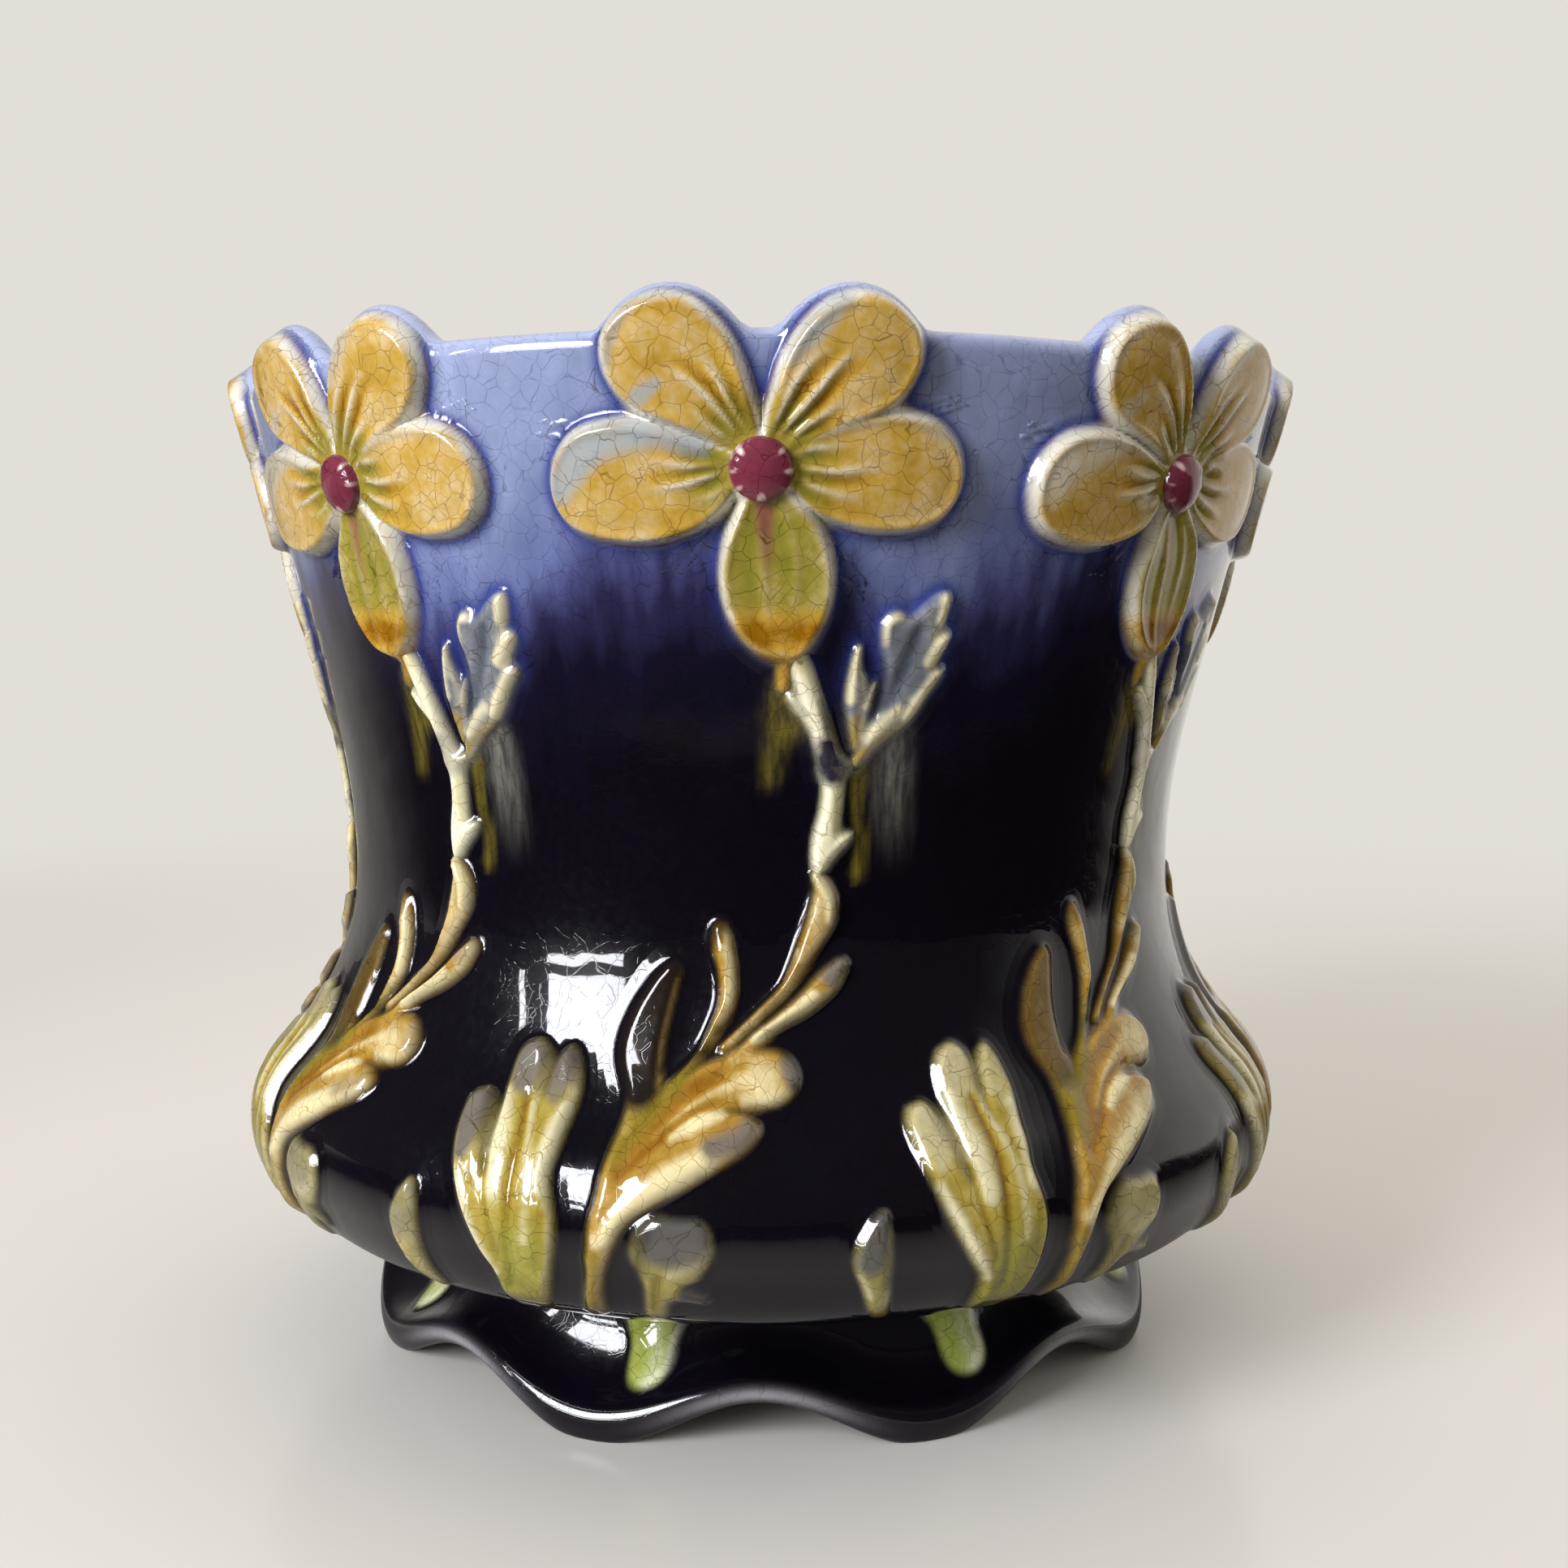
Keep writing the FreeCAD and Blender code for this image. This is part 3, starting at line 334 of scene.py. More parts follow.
ACANTHUS_STROKES = [
    ("dark", 0.97, 2.0, [(-20.5, 69, 3.6), (-20.6, 75, 4.4), (-18.5, 82, 3.8), (-15.5, 88, 2.6)]),
    ("dark", -0.3, 0.5, [(-16.7, 69, 0.3), (-16.5, 75, 0.4), (-15.2, 81, 0.4), (-13.9, 86, 0.4)]),
    ("dark", 0.85, 1.2, [(3.5, 91, 0.8), (5.8, 96.5, 1.4), (7.2, 102, 1.4)]),
    ("dark", 0.8, 1.4, [(-7.6, 96, 2), (-8.6, 92, 0.8)]),
    ("dark", 0.75, 1.6, [(-19, 70, 1), (-13, 74, 1.4), (-7, 74.5, 0.8)]),
    ("green", 0.9, 2.2, [(-24, 60, 2), (-20, 65.5, 2.4), (-14.5, 69.5, 1.5)]),
    ("green", 1.0, 1.0, [(-14, 69.6, 1.2), (-8, 78, 1.2)]),
    ("green", 0.9, 3.5, [(-28, 34, 3), (-27, 44, 2)]),
    ("deep", 0.8, 1.6, [(-23, 57, 1), (-15, 66, 1.4), (-8, 70.2, 1), (-3, 72.2, 0.6)]),
    ("deep", 1.0, 0.9, [(-23, 56.5, 0.5), (-16, 61.8, 0.6), (-10.5, 65.4, 0.5), (-4, 67, 0.4)]),
    ("deep", 0.35, 1.2, [(7, 92, 0.5), (8, 95, 0.5)]),
    ("cream", 0.5, 0.9, [(-17, 61.9, 0.3), (-10, 67, 0.4), (-4, 70, 0.6)]),
    ("cream", 0.55, 2.2, [(-4, 71.5, 1.2), (0.5, 70, 2.4)]),
    ("cream", 1.0, 1.5, [(-26.4, 47, 0.6), (-20, 53.2, 1), (-14.5, 56.6, 1.3), (-9, 59, 0.9)]),
    ("cream", 0.9, 0.9, [(-14.5, 61.8, 0.6), (-10, 64, 0.9), (-6.5, 65.2, 0.7)]),
    ("cream", 1.0, 0.9, [(-1, 76.8, 0.5), (4, 80, 0.7), (8.5, 83.4, 0.9)]),
    ("cream", 0.9, 0.8, [(9, 104, 0.8), (11, 100.5, 0.6), (11.3, 96.5, 0.5)]),
    ("cream", 0.5, 0.9, [(-5.2, 82, 0.5), (-4.9, 88, 0.6), (-5.8, 91.5, 0.5)]),
    ("cream", 0.45, 1.2, [(6.5, 90, 0.5), (8.6, 95, 0.9), (9.6, 100, 0.8)]),
    ("grey", 1.0, 1.4, [(4.4, 72.8, 1.4), (5.4, 70.2, 1.4)]),
    ("grey", 1.0, 1.8, [(-8, 60.4, 1.3), (-3.5, 61.8, 1.6), (-2, 63.4, 1.3)]),
    ("grey", 1.0, 1.6, [(11.6, 86.6, 1.5), (13.4, 89.2, 1.7)]),
    ("grey", 0.7, 0.8, [(12.6, 100.5, 0.6), (12.4, 96.5, 0.6)]),
]
SIDE_LEAF = [
    [(-41, 34, 3), (-42.5, 41, 3.4), (-45.4, 45.5, 4), (-49, 52, 4), (-50.6, 58, 3.8), (-50, 62.5, 3.4),
     (-48.8, 64.6, 2)],
    [(-40, 34, 3.4), (-41, 42, 4.4), (-42.4, 50, 4.8), (-42.5, 57, 4.8), (-41.5, 65, 3.8), (-40, 70.5, 3.6),
     (-39.2, 72.4, 2.6)],
    [(-38.6, 34, 2.6), (-37.6, 42, 2.8), (-37.2, 48, 2.9), (-37.8, 56, 2.5), (-36.2, 61.5, 2.8),
     (-34, 67.5, 3.1), (-33.3, 71, 2.5), (-32.8, 73, 1.4)],
]
SIDE_LEAF_STROKES = [
    ("grey", 1.0, 1.8, [(-52, 57.5, 1.2), (-50.6, 62, 2.4), (-48.6, 65.4, 1.4)]),
    ("grey", 1.0, 1.8, [(-41, 68.6, 2.6), (-39.6, 72.4, 2.8)]),
    ("grey", 0.9, 1.8, [(-34.8, 67, 2), (-33, 72.4, 2.2)]),
    ("dark", 0.65, 1.5, [(-47.4, 55.5, 0.7), (-47.4, 60, 1.2), (-46.6, 65, 1.4)]),
    ("dark", 0.6, 1.5, [(-37.2, 67.5, 0.6), (-36.2, 71, 1), (-35, 75, 1.4)]),
    ("dark", 0.35, 1.2, [(-32.4, 75, 1.2), (-31, 69, 0.8)]),
    ("cream", 0.9, 1.1, [(-53, 54.5, 0.6), (-50.8, 49.6, 0.8), (-47.8, 44.4, 0.7), (-44.8, 40, 0.5)]),
    ("cream", 0.85, 1.5, [(-43.6, 66, 1), (-44.6, 60, 1.4), (-45, 53, 1.2)]),
    ("cream", 0.8, 1.2, [(-33, 64.8, 0.7), (-35.2, 60.4, 0.9), (-36.6, 54, 0.9)]),
    ("cream", 0.5, 1.0, [(-39, 64.5, 0.4), (-38.8, 58, 0.5), (-39, 46, 0.6)]),
    ("deep", 1.0, 0.9, [(-39.8, 66, 0.4), (-41.2, 58, 0.6), (-42.2, 51, 0.6), (-41.6, 38, 0.6)]),
    ("deep", 0.7, 0.8, [(-46.8, 57, 0.3), (-46.6, 51, 0.4), (-44, 43, 0.4)]),
    ("deep", 0.5, 0.9, [(-36, 50, 0.6), (-36.6, 42, 0.6)]),
    ("green", 1.0, 6.0, [(-41, 36, 5), (-40, 44, 4)]),
]
BRACT = [
    [(-17.6, 33, 2.2), (-17.2, 39, 2.2), (-16.8, 42.8, 3.4), (-17, 46, 4), (-17, 47.4, 3.6)],
    [(-15, 41.5, 2.6), (-12.6, 45.4, 3.6), (-12, 47.6, 3.2)],
    [(-17.4, 46, 3.8), (-14.6, 47, 4), (-12.2, 46.6, 3.7)],
    [(-14, 39, 1), (-11.5, 38.6, 1.4), (-9.4, 38, 1.4)],
]
BRACT_STROKES = [
    ("grey", 1.0, 2.4, [(-15.5, 47.5, 4), (-12.4, 48, 4.4)]),
    ("grey", 1.0, 1.4, [(-11.5, 38.8, 1.6), (-8.8, 38, 2)]),
    ("dark", 0.7, 2.4, [(-20, 43, 1), (-19.4, 49, 1.4), (-15, 53, 0.4)]),
    ("dark", 0.6, 1.4, [(-11.5, 38.8, 1.6), (-8.8, 38, 2)]),
    ("cream", 0.7, 1.2, [(-14.4, 42.4, 0.6), (-10.4, 44.4, 0.7)]),
    ("deep", 0.8, 1.2, [(-17.4, 36, 0.8), (-16.6, 41, 0.7)]),
]
SMALL_BRACT = [[(19.4, 33, 1.6), (18.6, 39.6, 2.4), (18, 44.4, 3.2), (18.8, 48.5, 2.2), (19.4, 50.8, 1.2)]]
SMALL_BRACT_STROKES = [
    ("grey", 1.0, 1.8, [(17.6, 44.4, 2.2), (19.2, 50.4, 2)]),
    ("cream", 0.8, 0.9, [(15.8, 42, 0.5), (17.4, 38.4, 0.7)]),
    ("dark", 0.5, 1.4, [(20.8, 40, 0.8), (21, 46, 1.2)]),
]
UPPER_LEAF = [
    [(15.4, 126.5, 0.9), (15, 131.2, 1.4), (15.4, 135.2, 2.1), (15.3, 139.6, 1.2), (15.7, 142.4, 0.7)],
    [(16.2, 128, 0.8), (17.5, 133.6, 0.8), (18.6, 136.8, 0.4)],
    [(15.6, 123.6, 1.1), (18.8, 128.4, 2.1), (22.6, 133.4, 3.6), (23.8, 139, 4.3), (24.6, 143.5, 4.3)],
    [(22, 141, 2.4), (21.4, 145.2, 2.3), (21.6, 147, 1.7)],
    [(24.5, 142, 3.2), (27.4, 146.8, 2.8), (29.4, 149.7, 1.9), (30.2, 150.8, 1.1)],
    [(25.5, 139.5, 2.6), (28.6, 142.6, 1.9), (30.4, 144.3, 1.1)],
    [(25, 135.5, 2.4), (27.8, 137.6, 1.7), (29.7, 138.8, 0.9)],
]
UPPER_LEAF_STROKES = [
    ("cream", 1.0, 1.0, [(30.4, 151, 0.7), (29.8, 147.6, 0.8)]),
    ("cream", 1.0, 1.0, [(30.4, 144.4, 0.9), (27.6, 140.6, 0.9)]),
    ("cream", 0.9, 0.9, [(29, 138.4, 0.7), (26.6, 135, 0.9), (24, 131.4, 0.7)]),
    ("cream", 0.8, 1.2, [(17.4, 127.6, 0.7), (20.5, 131, 0.9), (22.5, 132.4, 0.8)]),
    ("cream", 0.9, 0.8, [(14.4, 134.4, 0.8), (14.8, 139, 0.6), (15.7, 142.4, 0.5)]),
    ("cream", 0.8, 0.8, [(19.9, 143.6, 0.5), (20.4, 147, 0.6), (22.4, 147.8, 0.6)]),
    ("cream", 0.6, 0.7, [(18.4, 136.6, 0.4), (17.2, 133, 0.4)]),
    ("deep", 0.8, 1.2, [(20.5, 133, 0.5), (23, 139, 0.9), (26, 146, 0.7)]),
    ("dark", 0.7, 1.3, [(18.5, 131.5, 0.7), (19.8, 137, 0.9), (19.6, 141, 0.6)]),
    ("green", 1.0, 1.2, [(15.2, 123.8, 1), (19, 127, 0.9), (23, 129.6, 0.7)]),
    ("green", 1.0, 1.4, [(15.4, 126.5, 1), (15.4, 130.5, 1)]),
]
STEM = [
    [(5.2, 142.4, 1.4), (6.8, 138.3, 1.8), (8.1, 134.3, 1.8), (9.5, 130.3, 1.8), (10.7, 126.2, 1.9),
     (11.7, 122.7, 2)],
    [(11.7, 122.7, 2), (12, 119.8, 1.9), (11.6, 115, 1.9), (10.8, 110.3, 2.2), (10, 106.6, 1.6),
     (9.6, 104.8, 0.8)],
    [(12, 122, 1.6), (13.8, 122.9, 1.1), (15.2, 123.4, 0.5)],
    [(11.2, 108.6, 1.3), (13, 110, 1.3), (14.6, 111, 0.6)],
    [(8.1, 130.6, 0.8), (6.4, 132.6, 1), (4.9, 134.3, 0.7)],
]
STEM_STROKES = [
    ("grey", 1.0, 1.8, [(10.8, 126.6, 1.6), (11.7, 122.6, 2.6), (14.5, 123.2, 1.2)]),
    ("grey", 0.75, 1.1, [(9.6, 134, 0.5), (11, 129.5, 1), (11.4, 126, 1.4)]),
    ("grey", 0.4, 1.0, [(5.4, 133.6, 0.8), (7, 132, 0.6)]),
    ("green", 0.7, 2.0, [(5, 143, 1.6), (6, 140, 1)]),
    ("deep", 0.6, 0.8, [(12.8, 119, 0.4), (12.4, 112, 0.5)]),
]


def leaf_fields(x, z, lobes, strokes, relief, soft=0.9, melt=0.3, sunk_below=0.0):
    """A leaf of lobes that run together, painted in strokes, its left drowned in the ground glaze."""
    fields = [lobe_field(x, z, chain) for chain in lobes]
    outsides = np.array([f[0] for f in fields])
    share = np.exp(np.clip((outsides.min(0) - outsides) / 0.6, -40, 0))
    share = share / share.sum(0)
    side = (share * np.array([f[2] for f in fields])).sum(0)
    outside = -soft * np.log(np.exp(np.clip(-outsides / soft, -60, 60)).sum(0))
    inside = -outside
    laid = {"cream": 0 * x, "deep": 0 * x, "grey": 0 * x, "dark": 0 * x, "green": 0 * x}
    for kind, amount, edge, chain in strokes:
        mark = amount * stroke(x, z, edge, chain)
        laid[kind] = laid[kind] + mark if amount < 0 else np.maximum(laid[kind], mark)
    drowned = melt * smooth(-side, -0.1, 0.9)
    body = smooth(inside - 0.7 * drowned, -1.0, 1.5 + 1.2 * drowned)
    thin_edge = np.exp(-((inside - 0.6) / 0.7) ** 2) * smooth(side, -0.2, 0.6)
    sunk = smooth(z, sunk_below, sunk_below + 5)
    lift = relief + 0.3 * laid["cream"] - 0.5 * laid["deep"] - 0.7 * np.clip(laid["dark"], 0, 1)
    ridge = 0.42 + 0.3 * thin_edge * (1 - laid["dark"]) + 0.58 * laid["cream"] - 0.42 * laid["deep"]
    cover = smooth(inside - 1.2 * drowned, -0.7, 0.9 + 1.4 * drowned)
    cover = cover * smooth(z, sunk_below - 1, sunk_below + 3)
    return {
        "height": lift * body * (0.35 + 0.65 * sunk) + apron(outside), "outside": outside,
        "glaze": np.stack([cover, laid["grey"], np.clip(ridge, 0, 1), laid["green"]], 1),
        "runs": np.stack([*wall_runs(x, z), np.clip(laid["dark"], 0, 1), pooled_line(outside)], 1),
    }


TONGUE_END_RING = 2.7
TONGUE_HEIGHT = 1.1


def tongue_fields(x, ring):
    """A drop of green glaze under the bulge, broad at its top and round at its end."""
    half = 4.4 + 3.4 * (1 - smooth(ring, 0.6, 2.5))
    end = np.hypot(x - 0.3, 3.4 * np.clip(ring - TONGUE_END_RING, 0, None)) - half
    outside = np.where(ring > TONGUE_END_RING, end, np.abs(x - 0.1 * ring) - half)
    inside = -outside
    height = TONGUE_HEIGHT * np.sqrt(smooth(inside, -1.0, 5.0))
    ridge = 0.4 + 0.6 * np.exp(-((inside - 0.9) / 0.8) ** 2) * smooth(x, -3, 3)
    ridge = ridge - 0.35 * smooth(1.6 - ring, 0, 1)
    ridge = np.clip(ridge + 0.3 * np.exp(-((x - 1) / 1.4) ** 2), 0, 1)
    green = 1 - 0.7 * smooth(ring, 0.5, 4)
    return {
        "height": height + apron(outside), "outside": outside,
        "glaze": np.stack([smooth(inside, -0.7, 1.0), smooth(x, 1.5, 5.5), ridge, green], 1),
        "runs": np.stack([0 * x, 0 * x, 0 * x, pooled_line(outside)], 1),
    }


# Materials
def colour(code):
    """A colour written as sRGB hex, as the linear value that a node takes."""
    parts = [int(code[i:i + 2], 16) / 255 for i in (1, 3, 5)]
    return [c / 12.92 if c <= 0.04045 else ((c + 0.055) / 1.055) ** 2.4 for c in parts] + [1.0]


def empty_tree(owner):
    owner.use_nodes = True
    owner.node_tree.nodes.clear()
    return owner.node_tree


def put(tree, kind, feeds=(), out=0, stops=None, **settings):
    """Adds a node with its settings, its inputs in order or by name, and colour stops; gives one output."""
    node = tree.nodes.new(kind)
    for name, value in settings.items():
        setattr(node, name, value)
    for name, value in feeds.items() if isinstance(feeds, dict) else enumerate(feeds):
        if isinstance(value, bpy.types.NodeSocket):
            tree.links.new(value, node.inputs[name])
        else:
            node.inputs[name].default_value = value
    if stops:
        ramp = node.color_ramp
        while len(ramp.elements) < len(stops):
            ramp.elements.new(0.5)
        for element, (place, code) in zip(ramp.elements, stops):
            element.position = place
            element.color = colour(code)
    return node if out is None else node.outputs[out]


# Fade of the ground glaze from the foot to the lip: height in millimetres and colour
GROUND_FADE = [
    (20, "#0a0710"), (120, "#0a0711"), (138, "#141024"), (147, "#292748"), (153, "#484b78"), (159, "#6c76a4"),
    (172, "#8994ba"), (188, "#98a3c7"), (202, "#a0abcd"),
]
FADE_LOW, FADE_HIGH = 20.0, 202.0
POOLED_COBALT = "#2a3a88"
THIN_LIP = "#c3cae4"

# Colours of each kind of sprig: deep where glaze pools, middle tone, crest where it runs thin, base and tip,
# and the colour of a run where that isn't the ground glaze
PALETTES = {
    "petal": dict(deep="#98680c", middle="#cfa645", crest="#e6e0cc", base="#8c8a32", tip="#a9b0b2",
                  run="#86404a"),
    "eye": dict(deep="#7e3445", middle="#863b49", crest="#e0c0bb", base="#863b49", tip="#863b49"),
    "leaf": dict(deep="#93641a", middle="#b08a38", crest="#e6d8a4", base="#857522", tip="#7b7164"),
    "side_leaf": dict(deep="#8b6c20", middle="#ae9b45", crest="#ded6ab", base="#8b882e", tip="#746d62"),
    "upper_leaf": dict(deep="#555a66", middle="#7f8389", crest="#e9dfb8", base="#ad9338", tip="#928d85"),
    "stem": dict(deep="#d8cf90", middle="#fbf4cc", crest="#fffae0", base="#cfae54", tip="#302b36"),
    "bract": dict(deep="#857730", middle="#9f9350", crest="#c5bc8e", base="#998b36", tip="#5e5a54"),
    "tongue": dict(deep="#717d28", middle="#acb45e", crest="#d9dab4", base="#97a342", tip="#7d7d70"),
}
OLIVE_RUN, PALE_RUN = "#7d7028", "#8a887c"
# Sizes of the patterns in millimetres: width and height of runs; clouds, specks and waves in the coat;
# cells of the crazing and their bends
BROAD_RUN, NARROW_RUN, HAIR_RUN = (13, 120), (3.2, 60), (1.1, 22)
CLOUD, SPECK, WAVE = 9, 1.6, 14
CRAZE_CELL, FINE_CELL, BEND = 3.6, 2.4, 5


# The default lip colour is the foot's: thin pale glaze that also carries a painted highlight at its arches
def majolica(name, palette=None, lip="#a8a4a8"):
    """Lead-glazed majolica: coloured glazes that flowed into each other, thin and pale on raised edges,
    deep where they pooled, under one glassy coat that is finely crazed and slightly wavy."""
    material = bpy.data.materials.new(name)
    tree = empty_tree(material)
    place = put(tree, "ShaderNodeTexCoord", out="Object")
    mm = put(tree, "ShaderNodeVectorMath", {0: place, "Scale": 1000.0}, operation="SCALE")
    axes = put(tree, "ShaderNodeSeparateXYZ", [mm], out=None).outputs
    glaze = put(tree, "ShaderNodeAttribute", out=None, attribute_name="glaze")
    runs = put(tree, "ShaderNodeAttribute", out=None, attribute_name="runs")
    parts = put(tree, "ShaderNodeSeparateColor", [glaze.outputs["Color"]], out=None).outputs
    flows = put(tree, "ShaderNodeSeparateColor", [runs.outputs["Color"]], out=None).outputs

    # Runs in the ground glaze: streaks that are many times as tall as they are wide
    streaks = []
    for wide, tall in (BROAD_RUN, NARROW_RUN, HAIR_RUN):
        drawn = put(tree, "ShaderNodeVectorMath", [mm, (1 / wide, 1 / wide, 1 / tall)], operation="MULTIPLY")
        streaks.append(put(tree, "ShaderNodeTexNoise", {"Vector": drawn, "Scale": 1.0, "Detail": 2.0}))
    broad, narrow, hair = streaks
    level = put(tree, "ShaderNodeMath", [broad, 30.0, axes["Z"]], operation="MULTIPLY_ADD")
    level = put(tree, "ShaderNodeMath", [narrow, 11.0, level], operation="MULTIPLY_ADD")
    # The dark climbs under a flower's left petal and hangs low on the right of its lower one
    front = put(tree, "ShaderNodeMath", [axes["Y"], -1.0], operation="MULTIPLY")
    turn = put(tree, "ShaderNodeMath", [axes["X"], front], operation="ARCTAN2")
    turn = put(tree, "ShaderNodeMath", [turn, math.pi / UNITS, -math.pi / UNITS], operation="WRAP")
    turn = put(tree, "ShaderNodeMapRange", [turn, -math.pi / UNITS, math.pi / UNITS])
    hang = put(tree, "ShaderNodeValToRGB", [turn], stops=[
        (0.0, "#9a9a9a"), (0.16, "#7c7c7c"), (0.3, "#303030"), (0.44, "#585858"),
        (0.6, "#a8a8a8"), (0.78, "#d2d2d2"), (0.9, "#c4c4c4"), (1.0, "#9a9a9a")])
    level = put(tree, "ShaderNodeMath", [hang, 20.0, level], operation="MULTIPLY_ADD")
    level = put(tree, "ShaderNodeMapRange", [level, FADE_LOW + 27.0, FADE_HIGH + 27.0])
    ground = put(tree, "ShaderNodeValToRGB", [level],
                 stops=[((h - FADE_LOW) / (FADE_HIGH - FADE_LOW), code) for h, code in GROUND_FADE])

    # Clouds and specks in all the glazes
    cloud = {"Vector": mm, "Scale": 1 / CLOUD, "Detail": 4.0, "Roughness": 0.6}
    cloud = put(tree, "ShaderNodeTexNoise", cloud)
    fine = put(tree, "ShaderNodeTexNoise", {"Vector": mm, "Scale": 1 / SPECK, "Detail": 3.0})
    shade = put(tree, "ShaderNodeMapRange", [cloud, 0.3, 0.7, 0.84, 1.14])
    ground = put(tree, "ShaderNodeVectorMath", {0: ground, "Scale": shade}, operation="SCALE")

    # The pooled line is cobalt in the blue band and vanishes in the dark below it
    pool = put(tree, "ShaderNodeMapRange", [level, 0.62, 0.78])
    pool = put(tree, "ShaderNodeMath", [pool, runs.outputs["Alpha"]], operation="MULTIPLY")
    cobalt = colour(POOLED_COBALT)
    ground = put(tree, "ShaderNodeMix", {0: pool, 6: ground, 7: cobalt}, out=2, data_type="RGBA")
    hair = put(tree, "ShaderNodeMapRange", [hair, 0.35, 0.65, 0.35, 1.0])
    for channel, code in (("Red", PALE_RUN), ("Green", OLIVE_RUN)):
        run = put(tree, "ShaderNodeMath", [flows[channel], hair], operation="MULTIPLY")
        ground = put(tree, "ShaderNodeMix", {0: run, 6: ground, 7: colour(code)}, out=2, data_type="RGBA")

    if palette is None:
        # Bare wall or foot: the glaze breaks pale on the lip, which on the foot's arches
        # is brightened further as a painted highlight
        breaking_and_highlight = parts["Blue"]
        body = put(tree, "ShaderNodeMix", {0: breaking_and_highlight, 6: ground, 7: colour(lip)}, out=2, data_type="RGBA")
    else:
        base, tip = colour(palette["base"]), colour(palette["tip"])
        ridge = put(tree, "ShaderNodeMath", [fine, 0.25, parts["Blue"]], operation="MULTIPLY_ADD")
        ridge = put(tree, "ShaderNodeMath", [cloud, 0.5, ridge], operation="MULTIPLY_ADD")
        ridge = put(tree, "ShaderNodeMapRange", [ridge, 0.38, 1.35])
        body = put(tree, "ShaderNodeValToRGB", [ridge],
                   stops=[(0.05, palette["deep"]), (0.42, palette["middle"]), (0.9, palette["crest"])])
        toward = put(tree, "ShaderNodeMath", [cloud, 0.8, glaze.outputs["Alpha"]], operation="MULTIPLY_ADD")
        toward = put(tree, "ShaderNodeMapRange", [toward, 0.5, 1.3])
        thick = put(tree, "ShaderNodeMapRange", [ridge, 0.3, 0.85, 1.0, 0.15])
        toward = put(tree, "ShaderNodeMath", [toward, thick], operation="MULTIPLY")
        body = put(tree, "ShaderNodeMix", {0: toward, 6: body, 7: base}, out=2, data_type="RGBA")
        body = put(tree, "ShaderNodeVectorMath", {0: body, "Scale": shade}, operation="SCALE")
        wash = put(tree, "ShaderNodeMath", [cloud, 0.9, parts["Green"]], operation="MULTIPLY_ADD")
        wash = put(tree, "ShaderNodeMapRange", [wash, 0.62, 1.4])
        body = put(tree, "ShaderNodeMix", {0: wash, 6: body, 7: tip}, out=2, data_type="RGBA")
        veil = colour(palette["run"]) if "run" in palette else ground
        body = put(tree, "ShaderNodeMix", {0: flows["Blue"], 6: body, 7: veil}, out=2, data_type="RGBA")
        body = put(tree, "ShaderNodeMix", {0: parts["Red"], 6: ground, 7: body}, out=2, data_type="RGBA")

    # Crazing: bent cells with finer cracks here and there, drawn coarser than the real ones so that they show
    bend = put(tree, "ShaderNodeTexNoise", {"Vector": mm, "Scale": 1 / BEND, "Detail": 2.0}, out="Color")
    bent = put(tree, "ShaderNodeVectorMath", [bend, (2.6, 2.6, 2.6), mm], operation="MULTIPLY_ADD")
    large, small = (
        put(tree, "ShaderNodeTexVoronoi", {"Vector": bent, "Scale": 1 / cell}, feature="DISTANCE_TO_EDGE")
        for cell in (CRAZE_CELL, FINE_CELL))
    large = put(tree, "ShaderNodeMapRange", [large, 0.012, 0.026, 1.0, 0.0])
    small = put(tree, "ShaderNodeMapRange", [small, 0.014, 0.03, 0.8, 0.0])
    some = put(tree, "ShaderNodeMapRange", [cloud, 0.46, 0.58])
    small = put(tree, "ShaderNodeMath", [small, some], operation="MULTIPLY")
    cracks = put(tree, "ShaderNodeMath", [large, small], operation="MAXIMUM")
    faint = put(tree, "ShaderNodeMapRange", [fine, 0.35, 0.65, 0.35, 0.9])
    cracks = put(tree, "ShaderNodeMath", [cracks, faint], operation="MULTIPLY")
    stain = (0.62, 0.62, 0.68) if palette is None else (0.46, 0.38, 0.26)
    stained = put(tree, "ShaderNodeVectorMath", [body, stain], operation="MULTIPLY")
    body = put(tree, "ShaderNodeMix", {0: cracks, 6: body, 7: stained}, out=2, data_type="RGBA")

    # The glassy coat lies in shallow waves, and dips a little along the cracks
    swell = put(tree, "ShaderNodeTexNoise", {"Vector": mm, "Scale": 1 / WAVE, "Detail": 1.5})
    relief = put(tree, "ShaderNodeMath", [cracks, -0.02, swell], operation="MULTIPLY_ADD")
    bump = put(tree, "ShaderNodeBump", {"Height": relief, "Strength": 0.5, "Distance": 0.0006}, out="Normal")
    satin = put(tree, "ShaderNodeMapRange", [fine, 0.3, 0.7, 0.16, 0.28])
    shader = put(tree, "ShaderNodeBsdfPrincipled", {
        "Base Color": body, "Roughness": satin, "IOR": 1.5, "Specular IOR Level": 0.1, "Coat Weight": 1.0,
        "Coat Roughness": 0.03, "Coat IOR": 1.55, "Normal": bump, "Coat Normal": bump})
    put(tree, "ShaderNodeOutputMaterial", {"Surface": shader}, out=None)
    return material


GLAZES = {
    "pot": majolica("majolica_ground_glaze", lip=THIN_LIP),
    "foot": majolica("majolica_foot_glaze"),
}
for kind, palette in PALETTES.items():
    GLAZES[kind] = majolica(f"majolica_{kind}_glaze", palette)


# Meshes
def finish_mesh(mesh, places, glaze, runs, material):
    """Puts a mesh's points in place in metres, with the marks that steer its glaze."""
    mesh.vertices.foreach_set("co", (np.asarray(places, np.float32) * MM).ravel())
    for name, values in (("glaze", glaze), ("runs", runs)):
        mark = mesh.attributes.new(name, "FLOAT_COLOR", "POINT")
        mark.data.foreach_set("color", np.asarray(values, np.float32).ravel())
    mesh.materials.append(material)
    mesh.update()
    mesh.shade_smooth()


